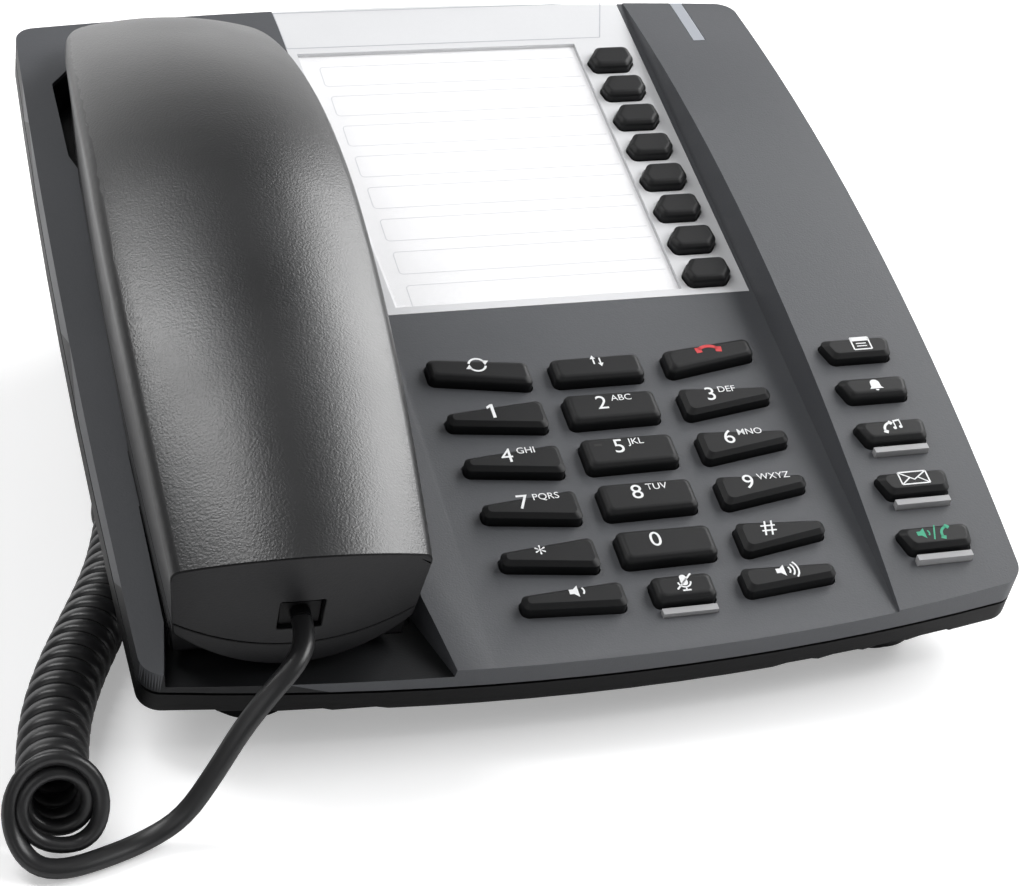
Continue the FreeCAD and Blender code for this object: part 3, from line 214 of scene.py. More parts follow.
def newGroup(name, inputs, outputs):
    group = bpy.data.node_groups.new(name, "ShaderNodeTree")
    for socketName, kind, value in inputs:
        socket = group.interface.new_socket(socketName, in_out="INPUT", socket_type=kind)
        socket.default_value = value
    for socketName, kind in outputs:
        group.interface.new_socket(socketName, in_out="OUTPUT", socket_type=kind)
    start = group.nodes.new("NodeGroupInput")
    end = group.nodes.new("NodeGroupOutput")
    return group, start, end


def objectPlace(tree):
    return tree.nodes.new("ShaderNodeTexCoord").outputs["Object"]


def feed(tree, socket, source):  # a source is a plain number or another node's output
    if isinstance(source, (int, float)):
        socket.default_value = source
    else:
        tree.links.new(source, socket)


def addNoise(tree, place, scale, detail=2.0, roughness=0.5):
    noise = tree.nodes.new("ShaderNodeTexNoise")
    noise.inputs["Detail"].default_value = detail
    noise.inputs["Roughness"].default_value = roughness
    tree.links.new(place, noise.inputs["Vector"])
    feed(tree, noise.inputs["Scale"], scale)
    return noise.outputs


def addRange(tree, value, span, toLow, toHigh):
    mapping = tree.nodes.new("ShaderNodeMapRange")
    mapping.inputs["From Min"].default_value = span[0]
    mapping.inputs["From Max"].default_value = span[1]
    tree.links.new(value, mapping.inputs["Value"])
    feed(tree, mapping.inputs["To Min"], toLow)
    feed(tree, mapping.inputs["To Max"], toHigh)
    return mapping.outputs["Result"]


def addScaledSum(tree, value, factor, addend):
    scaled = tree.nodes.new("ShaderNodeMath")
    scaled.operation = "MULTIPLY_ADD"
    scaled.inputs[1].default_value = factor
    tree.links.new(value, scaled.inputs[0])
    tree.links.new(addend, scaled.inputs[2])
    return scaled.outputs["Value"]


def addMix(tree, factor, first, second):  # sockets 6 and 7 of a Mix node take its colours
    mix = tree.nodes.new("ShaderNodeMix")
    mix.data_type = "RGBA"
    tree.links.new(factor, mix.inputs[0])
    tree.links.new(first, mix.inputs[6])
    tree.links.new(second, mix.inputs[7])
    return mix.outputs[2]


def addRamp(tree, factor, dark, light):
    ramp = tree.nodes.new("ShaderNodeValToRGB")
    ramp.color_ramp.elements[0].color = (*dark, 1.0)
    ramp.color_ramp.elements[1].color = (*light, 1.0)
    tree.links.new(factor, ramp.inputs["Fac"])
    return ramp.outputs["Color"]


def addBump(tree, height, depth):
    bump = tree.nodes.new("ShaderNodeBump")
    feed(tree, bump.inputs["Distance"], depth)
    tree.links.new(height, bump.inputs["Height"])
    return bump.outputs["Normal"]


mouldTexture = {
    "patchScale": 26.0,
    "patchDetail": 3.0,
    "patchSpan": (0.3, 0.7),
    "patchShare": 0.6,
    "speckScale": 900.0,
    "speckShare": 0.45,
    "grainScale": 2300.0,
    "grainRoughness": 0.6,
    "grainDepth": 0.00002,
}


def makeMouldGroup():
    group, start, end = newGroup(
        "mouldedPlastic",
        [
            ("Dark", "NodeSocketColor", (0.02, 0.02, 0.02, 1.0)),
            ("Light", "NodeSocketColor", (0.03, 0.03, 0.03, 1.0)),
            ("Smooth", "NodeSocketFloat", 0.4),
            ("Rough", "NodeSocketFloat", 0.5),
            ("Grain Scale", "NodeSocketFloat", mouldTexture["grainScale"]),
            ("Grain Depth", "NodeSocketFloat", mouldTexture["grainDepth"]),
        ],
        [
            ("Color", "NodeSocketColor"),
            ("Roughness", "NodeSocketFloat"),
            ("Normal", "NodeSocketVector"),
        ],
    )
    given = start.outputs
    span = mouldTexture["patchSpan"]
    place = objectPlace(group)
    patches = addNoise(group, place, mouldTexture["patchScale"], mouldTexture["patchDetail"])["Fac"]
    specks = addNoise(group, place, mouldTexture["speckScale"])["Fac"]
    grain = addNoise(group, place, given["Grain Scale"], roughness=mouldTexture["grainRoughness"])["Fac"]
    patchTone = addRange(group, patches, span, 0.0, mouldTexture["patchShare"])
    tone = addScaledSum(group, specks, mouldTexture["speckShare"], patchTone)
    colour = addMix(group, tone, given["Dark"], given["Light"])
    roughness = addRange(group, patches, span, given["Smooth"], given["Rough"])
    normal = addBump(group, grain, given["Grain Depth"])
    group.links.new(colour, end.inputs["Color"])
    group.links.new(roughness, end.inputs["Roughness"])
    group.links.new(normal, end.inputs["Normal"])
    return group


leatherTexture = {
    "warpScale": 500.0,
    "warpShare": 0.0012,
    "cellScale": 1850.0,
    "cellSmoothness": 0.5,
    "cellHeight": -1.0,
    "fineScale": 3200.0,
    "fineDetail": 1.0,
    "fineSpan": (0.3, 0.7),
    "fineHeights": (0.6, 1.0),
    "depth": 0.00003,
}


def makeLeatherGroup():
    group, start, end = newGroup(
        "leatherGrain",
        [("Depth", "NodeSocketFloat", leatherTexture["depth"])],
        [("Normal", "NodeSocketVector")],
    )
    place = objectPlace(group)
    warp = addNoise(group, place, leatherTexture["warpScale"])["Color"]
    shift = group.nodes.new("ShaderNodeMix")  # its sockets 4 and 5 take the vectors
    shift.data_type = "VECTOR"
    shift.inputs[0].default_value = leatherTexture["warpShare"]
    group.links.new(place, shift.inputs[4])
    group.links.new(warp, shift.inputs[5])
    cells = group.nodes.new("ShaderNodeTexVoronoi")
    cells.feature = "SMOOTH_F1"
    cells.inputs["Scale"].default_value = leatherTexture["cellScale"]
    cells.inputs["Smoothness"].default_value = leatherTexture["cellSmoothness"]
    group.links.new(shift.outputs[1], cells.inputs["Vector"])
    fine = addNoise(group, place, leatherTexture["fineScale"], leatherTexture["fineDetail"])["Fac"]
    fineHeight = addRange(group, fine, leatherTexture["fineSpan"], *leatherTexture["fineHeights"])
    height = addScaledSum(group, cells.outputs["Distance"], leatherTexture["cellHeight"], fineHeight)
    group.links.new(addBump(group, height, start.outputs["Depth"]), end.inputs["Normal"])
    return group


mouldGroup = makeMouldGroup()
leatherGroup = makeLeatherGroup()


# Moulded finishes: dark and light colour, smoothest and roughest, grain scale and grain depth

finishes = {
    "housingTop": ((0.062, 0.065, 0.072), (0.080, 0.083, 0.091), 0.46, 0.56, 2300.0, 0.000035),
    "housingBottom": ((0.003, 0.003, 0.0033), (0.005, 0.005, 0.0055), 0.42, 0.52, 2300.0, 0.00002),
    # painted shade: the darker finish for the insides of the cradle pockets
    "pocketShade": ((0.010, 0.0105, 0.0115), (0.016, 0.0165, 0.018), 0.46, 0.56, 2300.0, 0.00003),
    # near-black on the handset shells' softened edges: the dark seam between the shells, and painted
    # shade along their rounded edges
    "seamAndEdgeShade": ((0.0015, 0.0015, 0.002), (0.003, 0.003, 0.0035), 0.40, 0.50, 2300.0, 0.00001),
    "handsetBack": ((0.006, 0.0063, 0.007), (0.010, 0.0103, 0.0115), 0.30, 0.37, 2300.0, 0.00001),
    "handsetFront": ((0.006, 0.006, 0.007), (0.010, 0.010, 0.011), 0.42, 0.50, 2000.0, 0.00003),
    "handsetEdge": ((0.012, 0.012, 0.013), (0.017, 0.017, 0.018), 0.30, 0.38, 2600.0, 0.00001),
    "cordJacket": ((0.012, 0.012, 0.013), (0.020, 0.020, 0.021), 0.30, 0.42, 1200.0, 0.00001),
    "keyTop": ((0.007, 0.0072, 0.008), (0.011, 0.0113, 0.012), 0.46, 0.54, 3000.0, 0.00001),
    "footRubber": ((0.020, 0.020, 0.020), (0.035, 0.034, 0.033), 0.75, 0.90, 1500.0, 0.00004),
    "matRubber": ((0.10, 0.10, 0.105), (0.14, 0.14, 0.145), 0.6, 0.75, 1500.0, 0.00002),
    "frameWhite": ((0.66, 0.665, 0.68), (0.70, 0.705, 0.72), 0.38, 0.46, 2600.0, 0.00001),
    "jackPlastic": ((0.003, 0.003, 0.0035), (0.006, 0.006, 0.0065), 0.40, 0.50, 2600.0, 0.00001),
    "speakerCone": ((0.020, 0.019, 0.018), (0.040, 0.038, 0.036), 0.8, 0.95, 1200.0, 0.00006),
    "boardGreen": ((0.010, 0.055, 0.028), (0.016, 0.085, 0.042), 0.30, 0.42, 1800.0, 0.00001),
    "steel": ((0.42, 0.42, 0.43), (0.56, 0.56, 0.57), 0.25, 0.42, 1400.0, 0.000008),
}
plainSheen = 0.5
sheens = {
    "housingBottom": 0.18, "pocketShade": 0.25, "seamAndEdgeShade": 0.20, "handsetBack": 0.85,
    "handsetFront": 0.34, "keyTop": 0.26, "jackPlastic": 0.15,
}


def newMaterial(name):
    material = bpy.data.materials.new(name)
    material.use_nodes = True
    return material, material.node_tree, material.node_tree.nodes["Principled BSDF"]


def addGroup(tree, group):
    node = tree.nodes.new("ShaderNodeGroup")
    node.node_tree = group
    return node


def makeMouldedMaterial(name, dark, light, smooth, rough, grainScale, grainDepth):
    material, tree, shader = newMaterial(name)
    mould = addGroup(tree, mouldGroup)
    mould.inputs["Dark"].default_value = (*dark, 1.0)
    mould.inputs["Light"].default_value = (*light, 1.0)
    mould.inputs["Smooth"].default_value = smooth
    mould.inputs["Rough"].default_value = rough
    mould.inputs["Grain Scale"].default_value = grainScale
    mould.inputs["Grain Depth"].default_value = grainDepth
    tree.links.new(mould.outputs["Color"], shader.inputs["Base Color"])
    tree.links.new(mould.outputs["Roughness"], shader.inputs["Roughness"])
    tree.links.new(mould.outputs["Normal"], shader.inputs["Normal"])
    shader.inputs["Specular IOR Level"].default_value = sheens.get(name, plainSheen)
    return material


def coverWithLeather(material):  # the leather's normal takes the place of the mould's
    tree = material.node_tree
    leather = addGroup(tree, leatherGroup)
    tree.links.new(leather.outputs["Normal"], tree.nodes["Principled BSDF"].inputs["Normal"])


inkTexture = {"scale": 1400.0, "darkest": 0.82, "roughness": 0.5}
inks = {
    "inkWhite": (0.86, 0.87, 0.88),
    "inkRed": (0.62, 0.035, 0.04),
    "inkGreen": (0.02, 0.36, 0.20),
    "inkGrey": (0.50, 0.51, 0.55),
    "inkPale": (0.72, 0.73, 0.76),
    "inkDark": (0.004, 0.004, 0.004),
}


def makeInkMaterial(name, colour):
    material, tree, shader = newMaterial(name)
    specks = addNoise(tree, objectPlace(tree), inkTexture["scale"])["Fac"]
    darkest = [inkTexture["darkest"] * part for part in colour]
    tree.links.new(addRamp(tree, specks, darkest, colour), shader.inputs["Base Color"])
    shader.inputs["Roughness"].default_value = inkTexture["roughness"]
    return material


paperTexture = {
    "scale": 900.0,
    "detail": 4.0,
    "dark": (0.88, 0.88, 0.89),
    "light": (0.95, 0.95, 0.96),
    "depth": 0.00001,
    "roughness": 0.85,
}


def makePaperMaterial():
    material, tree, shader = newMaterial("labelPaper")
    fibres = addNoise(tree, objectPlace(tree), paperTexture["scale"], paperTexture["detail"])["Fac"]
    colour = addRamp(tree, fibres, paperTexture["dark"], paperTexture["light"])
    tree.links.new(colour, shader.inputs["Base Color"])
    tree.links.new(addBump(tree, fibres, paperTexture["depth"]), shader.inputs["Normal"])
    shader.inputs["Roughness"].default_value = paperTexture["roughness"]
    return material


hazeTexture = {"scale": 60.0, "smoothest": 0.7, "roughest": 1.3}
clearFinishes = {  # material name, colour, alpha, roughness
    "cover": ("clearCover", (0.95, 0.95, 0.97), 0.12, 0.05),
    "lens": ("indicatorLens", (0.42, 0.42, 0.43), 0.94, 0.24),
    "lamp": ("messageLamp", (0.40, 0.42, 0.46), 0.95, 0.25),
    "plugClear": ("plugClear", (0.030, 0.030, 0.032), 0.80, 0.12),
}


def makeClearMaterial(name, colour, alpha, roughness):
    material, tree, shader = newMaterial(name)
    haze = addNoise(tree, objectPlace(tree), hazeTexture["scale"])["Fac"]
    smoothest = roughness * hazeTexture["smoothest"]
    roughest = roughness * hazeTexture["roughest"]
    tree.links.new(addRange(tree, haze, (0.0, 1.0), smoothest, roughest), shader.inputs["Roughness"])
    shader.inputs["Base Color"].default_value = (*colour, 1.0)
    shader.inputs["Alpha"].default_value = alpha
    return material


materials = {name: makeMouldedMaterial(name, *values) for name, values in finishes.items()}
materials["steel"].node_tree.nodes["Principled BSDF"].inputs["Metallic"].default_value = 1.0
coverWithLeather(materials["handsetBack"])
for inkName, inkColour in inks.items():
    materials[inkName] = makeInkMaterial(inkName, inkColour)
materials["paper"] = makePaperMaterial()
for finishName, values in clearFinishes.items():
    materials[finishName] = makeClearMaterial(*values)
print("Materials made:", len(materials))


# Rigid nodes whose shape is right keep their mesh and get their material

nodeFinishes = {
    "desk_stand": "housingBottom", "rubber_feet": "footRubber", "housing_screws": "steel",
    "label_paper": "paper", "label_cover": "cover", "message_lamp_lens": "lamp",
    "indicator_lenses": "lens", "keypad_mat": "matRubber", "circuit_board": "boardGreen",
    "loudspeaker": "speakerCone", "hook_lever": "jackPlastic", "hook_switch": "jackPlastic",
    "base_handset_jack": "jackPlastic", "line_jack": "jackPlastic",
    "earpiece_receiver": "jackPlastic", "microphone": "steel", "handset_weight": "steel",
    "handset_jack": "jackPlastic", "handset_plug": "jackPlastic", "base_plug": "plugClear",
}


def dressNode(piece, finishName):
    piece.data.materials.clear()
    piece.data.materials.append(materials[finishName])


def addFinish(piece, finishName):
    piece.data.materials.append(materials[finishName])
    return len(piece.data.materials) - 1


for nodeName, finishName in nodeFinishes.items():
    dressNode(nodes[nodeName], finishName)
print("Plain nodes dressed:", len(nodeFinishes))


# Moulded pieces: a merged copy of each node with its edges softened. Each row has the finish,
# the width of the edges in millimetres and the angle past which an edge is softened

softEdges = {
    "upper_housing": ("housingTop", 0.35, 34.0),
    "lower_housing": ("housingBottom", 0.30, 34.0),
    "label_frame": ("frameWhite", 0.20, 24.0),
    "handset_back_shell": ("handsetBack", 0.28, 34.0),
    "handset_front_shell": ("handsetFront", 0.34, 34.0),
}
keyEdges = ("keyTop", 0.60, 20.0)
# these shells' edge faces get the near-black finish: the dark seam, and painted shade along the rounded
# edges
shadeEdged = ("handset_back_shell", "handset_front_shell")
areaShaded = ("label_frame",)

softening = {
    "mergeWithin": 0.000002,  # metres
    "flatWithin": 0.3,  # degrees
    "smoothBelow": 60.0,  # degrees
    "segments": 3,
    "areaWeight": 60,
    "terminatorOffset": 0.25,
}


def softenedCopy(nodeName, finishName, width, sharpAngle):
    piece = bpy.data.objects.new(nodeName + "_skin", nodes[nodeName].data.copy())
    scene.collection.objects.link(piece)
    dressNode(piece, finishName)
    makeActive(piece)
    bpy.ops.mesh.customdata_custom_splitnormals_clear()
    bpy.ops.object.mode_set(mode="EDIT")
    bpy.ops.mesh.select_all(action="SELECT")
    bpy.ops.mesh.remove_doubles(threshold=softening["mergeWithin"])
    bpy.ops.mesh.dissolve_limited(angle_limit=math.radians(softening["flatWithin"]))
    bpy.ops.object.mode_set(mode="OBJECT")
    bpy.ops.object.shade_smooth_by_angle(angle=math.radians(softening["smoothBelow"]))
    bevel = piece.modifiers.new("edges", "BEVEL")
    bevel.width = width * mm
    bevel.segments = softening["segments"]
    bevel.limit_method = "ANGLE"
    bevel.angle_limit = math.radians(sharpAngle)
    bevel.use_clamp_overlap = nodeName not in shadeEdged
    bevel.miter_outer = "MITER_ARC"
    bevel.harden_normals = True
    # the bevel's faces take the painted edge shade, which also darkens the seam
    if nodeName in shadeEdged:
        bevel.material = addFinish(piece, "seamAndEdgeShade")
    bpy.ops.object.modifier_apply(modifier=bevel.name)
    if nodeName in areaShaded:
        shading = piece.modifiers.new("shading", "WEIGHTED_NORMAL")
        shading.weight = softening["areaWeight"]
        shading.keep_sharp = True
        bpy.ops.object.modifier_apply(modifier=shading.name)
    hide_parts(nodeName)
    return piece


bodies = frame["record"]["behaviour"]["bodies"]
bodyOf = {member: body for body, members in bodies.items() for member in members}
skins = {}

for nodeName, softness in softEdges.items():
    skins[nodeName] = softenedCopy(nodeName, *softness)
    skins[nodeName].cycles.shadow_terminator_shading_offset = softening["terminatorOffset"]
    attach(skins[nodeName], bodyOf[nodeName])
print("Housings softened:", len(skins))


# The handset's grain stops short of its flanks and of its end face

grainedArea = {"sideways": 0.54, "upwards": 0.45, "endFace": -0.80}


def smoothTheEdges(piece):
    edgeShadeSlot = piece.data.materials.find(materials["seamAndEdgeShade"].name)
    flankSlot = addFinish(piece, "handsetEdge")
    endSlot = addFinish(piece, "handsetFront")
    for face in piece.data.polygons:
        steep = abs(face.normal.x) >= grainedArea["sideways"] or face.normal.z <= grainedArea["upwards"]
        # faces with the painted edge shade keep it
        if face.material_index == edgeShadeSlot:
            continue
        if face.normal.y < grainedArea["endFace"]:
            face.material_index = endSlot
        elif steep:
            face.material_index = flankSlot


smoothTheEdges(skins["handset_back_shell"])
print("Handset edges smoothed")


# Shade is painted inside the two cradle pockets: their faces get a darker finish that stands in for the
# handset's shadow. Their limits are in the flat body's millimetres

pockets = {"rightOf": -94.5, "leftOf": -36.0, "behind": 3.6, "before": 206.0, "below": -1.6}


def paintShadeInPockets(piece):
    flatten = toDesk.inverted()
    # faces inside the pockets take the painted shade
    pocketShadeSlot = addFinish(piece, "pocketShade")
    for face in piece.data.polygons:
        centre = flatten @ face.center
        across = pockets["rightOf"] < centre.x < pockets["leftOf"]
        along = pockets["behind"] < centre.y < pockets["before"]
        if across and along and centre.z < pockets["below"]:
            face.material_index = pocketShadeSlot


paintShadeInPockets(skins["upper_housing"])
print("Pockets darkened")

keyNames = [name for name in nodes if name.startswith(("key_", "memory_key_"))]
for nodeName in keyNames:
    skins[nodeName] = softenedCopy(nodeName, *keyEdges)
    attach(skins[nodeName], bodyOf[nodeName])
print("Keys softened:", len(keyNames))


# Printing on the keys, laid flat and then set on each key's top

keyPrint = {
    "digitSize": 5.5,
    "letterSize": 2.45,
    "digitWeight": 0.006,
    "letterWeight": 0.004,
    "letterGap": 1.1,
    "lift": 0.03,
    "columns": (-8.7, 16.05, 41.0),
    "rows": (26.9, 40.15, 53.4, 66.45),
    "textSteps": 4,
    "arcSteps": 10,
    "figureOne": [
        (0.35, -2.0), (0.35, 2.0), (-0.25, 2.0), (-1.15, 1.35), (-1.15, 0.65), (-0.35, 1.15),
        (-0.35, -2.0),
    ],
    "digitRows": [
        [("key_star", "*", ""), ("key_0", "0", ""), ("key_hash", "#", "")],
        [("key_7", "7", "PQRS"), ("key_8", "8", "TUV"), ("key_9", "9", "WXYZ")],
        [("key_4", "4", "GHI"), ("key_5", "5", "JKL"), ("key_6", "6", "MNO")],
        [("key_1", "1", ""), ("key_2", "2", "ABC"), ("key_3", "3", "DEF")],
    ],
    "homingMark": ("key_5", 11.61, 54.14, 1.7, 0.55),  # key, middle x and y, width, height
}


def panelCorners(nodeName):
    flatten = toDesk.inverted()
    return [flatten @ vertex.co for vertex in nodes[nodeName].data.vertices]


def panelBox(nodeName):
    corners = panelCorners(nodeName)
    lowest = [min(corner[i] for corner in corners) for i in range(3)]
    highest = [max(corner[i] for corner in corners) for i in range(3)]
    return lowest, highest


def flatText(words, size, weight):
    bpy.ops.object.text_add()
    piece = bpy.context.object
    piece.data.body = words
    piece.data.size = size
    piece.data.offset = weight
    piece.data.align_x = "CENTER"
    piece.data.align_y = "CENTER"
    piece.data.resolution_u = keyPrint["textSteps"]
    makeActive(piece)
    bpy.ops.object.convert(target="MESH")
    return bpy.context.object


def flatOutline(points):
    curve = bpy.data.curves.new("outline", "CURVE")
    curve.dimensions = "2D"
    curve.fill_mode = "BOTH"
    spline = curve.splines.new("POLY")
    spline.points.add(len(points) - 1)
    for target, (x, y) in zip(spline.points, points):
        target.co = (x, y, 0.0, 1.0)
    spline.use_cyclic_u = True
    piece = bpy.data.objects.new("outline", curve)
    scene.collection.objects.link(piece)
    makeActive(piece)
    bpy.ops.object.convert(target="MESH")
    return bpy.context.object


def arc(x, y, radius, start, stop, steps=keyPrint["arcSteps"]):
    angles = [math.radians(start + (stop - start) * i / steps) for i in range(steps + 1)]
    return [(x + radius * math.cos(a), y + radius * math.sin(a)) for a in angles]


def stroke(points, width):
    sides = ([], [])
    for i, (x, y) in enumerate(points):
        before = points[max(i - 1, 0)]
        after = points[min(i + 1, len(points) - 1)]
        along = Vector((after[0] - before[0], after[1] - before[1])).normalized()
        for side, sign in zip(sides, (0.5, -0.5)):
            side.append((x - along.y * width * sign, y + along.x * width * sign))
    return sides[0] + sides[1][::-1]


def edged(points, width):
    closed = points + [points[0]]
    return [stroke([a, b], width) for a, b in zip(closed, closed[1:])]


def turned(outline, angle, x=0.0, y=0.0, scale=1.0):
    c = scale * math.cos(math.radians(angle))
    s = scale * math.sin(math.radians(angle))
    return [(x + a * c - b * s, y + a * s + b * c) for a, b in outline]


def flatBounds(piece):
    xs = [vertex.co.x for vertex in piece.data.vertices]
    ys = [vertex.co.y for vertex in piece.data.vertices]
    return min(xs), max(xs), min(ys), max(ys)


def centreFlat(piece, x, y):
    left, right, low, high = flatBounds(piece)
    piece.data.transform(Matrix.Translation((x - (left + right) / 2, y - (low + high) / 2, 0)))


def joinFlat(parts, name):
    clearSelection()
    for part in parts:
        part.select_set(True)
    bpy.context.view_layer.objects.active = parts[0]
    if len(parts) > 1:
        bpy.ops.object.join()
    piece = bpy.context.object
    piece.name = name
    return piece


def finishPrint(parts, name, nodeName, inkName, height=None):
    piece = joinFlat(parts, name)
    dressNode(piece, inkName)
    top = panelBox(nodeName)[1][2] if height is None else height
    place(piece, toDesk @ Matrix.Translation((0, 0, top + keyPrint["lift"])))
    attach(piece, bodyOf[nodeName])


def figureFor(digit):
    if digit == "1":
        return flatOutline(keyPrint["figureOne"])
    return flatText(digit, keyPrint["digitSize"], keyPrint["digitWeight"])


def printDigits():
    for y, keys in zip(keyPrint["rows"], keyPrint["digitRows"]):
        for x, (nodeName, digit, letters) in zip(keyPrint["columns"], keys):
            figure = figureFor(digit)
            centreFlat(figure, x, y)
            parts = [figure]
            if letters:
                small = flatText(letters, keyPrint["letterSize"], keyPrint["letterWeight"])
                left, right, low, high = flatBounds(small)
                _, figureRight, _, figureTop = flatBounds(figure)
                smallX = figureRight + keyPrint["letterGap"] + (right - left) / 2
                centreFlat(small, smallX, figureTop - (high - low) / 2)
                parts.append(small)
            finishPrint(parts, nodeName + "_print", nodeName, "inkWhite")
    nodeName, x, y, width, height = keyPrint["homingMark"]
    dash = flatOutline(stroke([(x - width / 2, y), (x + width / 2, y)], height))
    finishPrint([dash], nodeName + "_homing", nodeName, "inkDark")


printDigits()
print("Digits printed")


# Signs on the function keys, each a list of outlines drawn around its own middle

def moved(parts, angle, x, y=0.0, scale=1.0):
    return [turned(part, angle, x, y, scale) for part in parts]


def waves(x, radii, width):
    return [stroke(arc(x, 0.0, radius, -42, 42), width) for radius in radii]


handset = [
    stroke(arc(0.0, -2.2, 2.9, 48, 132), 0.75),
    [(-2.75, 0.35), (-2.55, -1.05), (-1.35, -0.85), (-1.5, 0.5)],
    [(2.75, 0.35), (2.55, -1.05), (1.35, -0.85), (1.5, 0.5)],
]
speaker = [[(-2.3, -0.6), (-1.4, -0.6), (-0.4, -1.5), (-0.4, 1.5), (-1.4, 0.6), (-2.3, 0.6)]]
arrow = [stroke([(0.0, -1.5), (0.0, 0.7)], 0.42), [(-0.75, 0.35), (0.75, 0.35), (0.0, 1.65)]]
arrowHead = [(-0.75, -0.6), (0.75, -0.6), (0.0, 0.8)]
redialRing = [
    stroke(arc(0.0, 0.0, 1.85, 25, 165, 14), 0.5),
    stroke(arc(0.0, 0.0, 1.85, 205, 345, 14), 0.5),
    turned(arrowHead, 170, 1.85, 0.55),
    turned(arrowHead, -10, -1.85, -0.55),
]
mutedMicrophone = [
    arc(0.0, 1.2, 0.75, 0, 180) + arc(0.0, -0.1, 0.75, 180, 360),
    stroke(arc(0.0, 0.1, 1.35, 180, 360, 12), 0.36),
    stroke([(0.0, -1.25), (0.0, -2.1)], 0.36),
    stroke([(-0.9, -2.1), (0.9, -2.1)], 0.4),
    stroke([(-1.9, -1.7), (1.9, 2.1)], 0.4),
]
notePage = edged([(-2.1, -1.8), (2.1, -1.8), (2.1, 1.8), (-2.1, 1.8)], 0.36) + [
    stroke([(-2.1, 1.2), (2.1, 1.2)], 0.9),
    stroke([(-1.2, 0.0), (1.2, 0.0)], 0.3),
    stroke([(-1.2, -0.8), (1.2, -0.8)], 0.3),
]
bell = [
    [(-1.6, -1.05), (-1.15, -0.5)] + arc(0.0, 0.55, 1.1, 180, 0, 12) + [(1.15, -0.5), (1.6, -1.05)],
    arc(0.0, -1.25, 0.42, 180, 360, 6),
]
music = [
    stroke([(1.0, -0.6), (1.0, 1.4)], 0.3),
    stroke([(2.4, -0.4), (2.4, 1.6)], 0.3),
    stroke([(0.87, 1.4), (2.53, 1.65)], 0.45),
    arc(0.75, -0.6, 0.42, 0, 360)[:-1],
    arc(2.15, -0.4, 0.42, 0, 360)[:-1],
]
envelope = edged([(-3.2, -1.7), (3.2, -1.7), (3.2, 1.7), (-3.2, 1.7)], 0.34) + [
    stroke([(-3.2, 1.7), (0.0, -0.5), (3.2, 1.7)], 0.34),
    stroke([(-3.2, -1.7), (-0.9, 0.1)], 0.3),
    stroke([(3.2, -1.7), (0.9, 0.1)], 0.3),
]
slash = [stroke([(-0.55, -1.9), (0.65, 1.9)], 0.34)]

signs = {  # ink, the sign's middle on the key panel, and its outlines
    "key_redial": ("inkWhite", -8.19, 80.45, redialRing),
    "key_flash": ("inkWhite", 18.55, 78.96, moved(arrow, 0, -0.75, 0.35, 0.85)
                  + moved(arrow, 180, 0.75, -0.35, 0.85)),
    "key_hang_up": ("inkRed", 44.93, 80.18, moved(handset, 0, 0.0, 0.2, 1.15)),
    "key_volume_down": ("inkWhite", -4.19, 15.20, speaker + waves(-0.4, [1.2], 0.38)),
    "key_mute": ("inkWhite", 18.48, 14.74, mutedMicrophone),
    "key_volume_up": ("inkWhite", 41.19, 15.21, moved(speaker, 0, -0.5)
                      + waves(-0.9, [1.2, 2.1, 3.0], 0.38)),
    "key_notes": ("inkWhite", 76.59, 71.40, notePage),
    "key_bell": ("inkWhite", 75.66, 59.10, bell),
    "key_callback": ("inkWhite", 75.34, 47.45, moved(handset, 55, -0.9, -0.1, 0.72) + music),
    "key_message": ("inkWhite", 75.49, 33.55, envelope),
    "key_handsfree": ("inkGreen", 75.15, 19.35, moved(speaker, 0, -1.7, 0.0, 0.95)
                      + waves(-2.1, [1.0], 0.34) + slash + moved(handset, 60, 2.3, 0.0, 0.78)),
}


def printSigns():
    for nodeName, (inkName, x, y, outlines) in signs.items():
        sign = joinFlat([flatOutline(outline) for outline in outlines], nodeName + "_sign")
        centreFlat(sign, x, y)
        finishPrint([sign], nodeName + "_sign", nodeName, inkName)


printSigns()
print("Signs printed")


# Ruled places on the label, one beside each memory key, and the line round the header strip

labelPrint = {
    "lineWidth": 0.20,
    "halfHeight": 3.7,
    "leftInset": 4.2,
    "rightInset": 1.2,
    "cornerRadius": 1.0,
    "cornerSteps": 4,
    "edgeZone": 1.0,
    "header": [(-26.4, 195.6), (54.0, 195.6), (58.2, 209.7), (-27.0, 209.7)],
    "headerWidth": 0.28,
}


def rowOutline(left, right, middle):  # open on the right, where the memory key stands
    radius = labelPrint["cornerRadius"]
    steps = labelPrint["cornerSteps"]
    bottom = middle - labelPrint["halfHeight"]
    top = middle + labelPrint["halfHeight"]
    lowerCorner = arc(left + radius, bottom + radius, radius, 270, 180, steps)
    upperCorner = arc(left + radius, top - radius, radius, 180, 90, steps)
    route = [(right, bottom)] + lowerCorner + upperCorner + [(right, top)]
    return stroke(route, labelPrint["lineWidth"])


def printLabel():
    low, high = panelBox("label_paper")
    corners = panelCorners("label_paper")
    zone = labelPrint["edgeZone"]
    frontLeft = min(corner.x for corner in corners if corner.y < low[1] + zone)
    rearLeft = min(corner.x for corner in corners if corner.y > high[1] - zone)
    lean = (rearLeft - frontLeft) / (high[1] - low[1])
    right = high[0] - labelPrint["rightInset"]
    rows = []
    for nodeName in sorted(name for name in nodes if name.startswith("memory_key_")):
        keyLow, keyHigh = panelBox(nodeName)
        middle = (keyLow[1] + keyHigh[1]) / 2
        left = frontLeft + lean * (middle - low[1]) + labelPrint["leftInset"]
        rows.append(flatOutline(rowOutline(left, right, middle)))
    finishPrint(rows, "label_rows", "label_paper", "inkPale", high[2])
    lines = [flatOutline(line) for line in edged(labelPrint["header"], labelPrint["headerWidth"])]
    finishPrint(lines, "header_line", "label_frame", "inkGrey")


printLabel()
print("Label ruled")


# Handset cord: one flat jacket from plug to plug, curled along the middle of its way

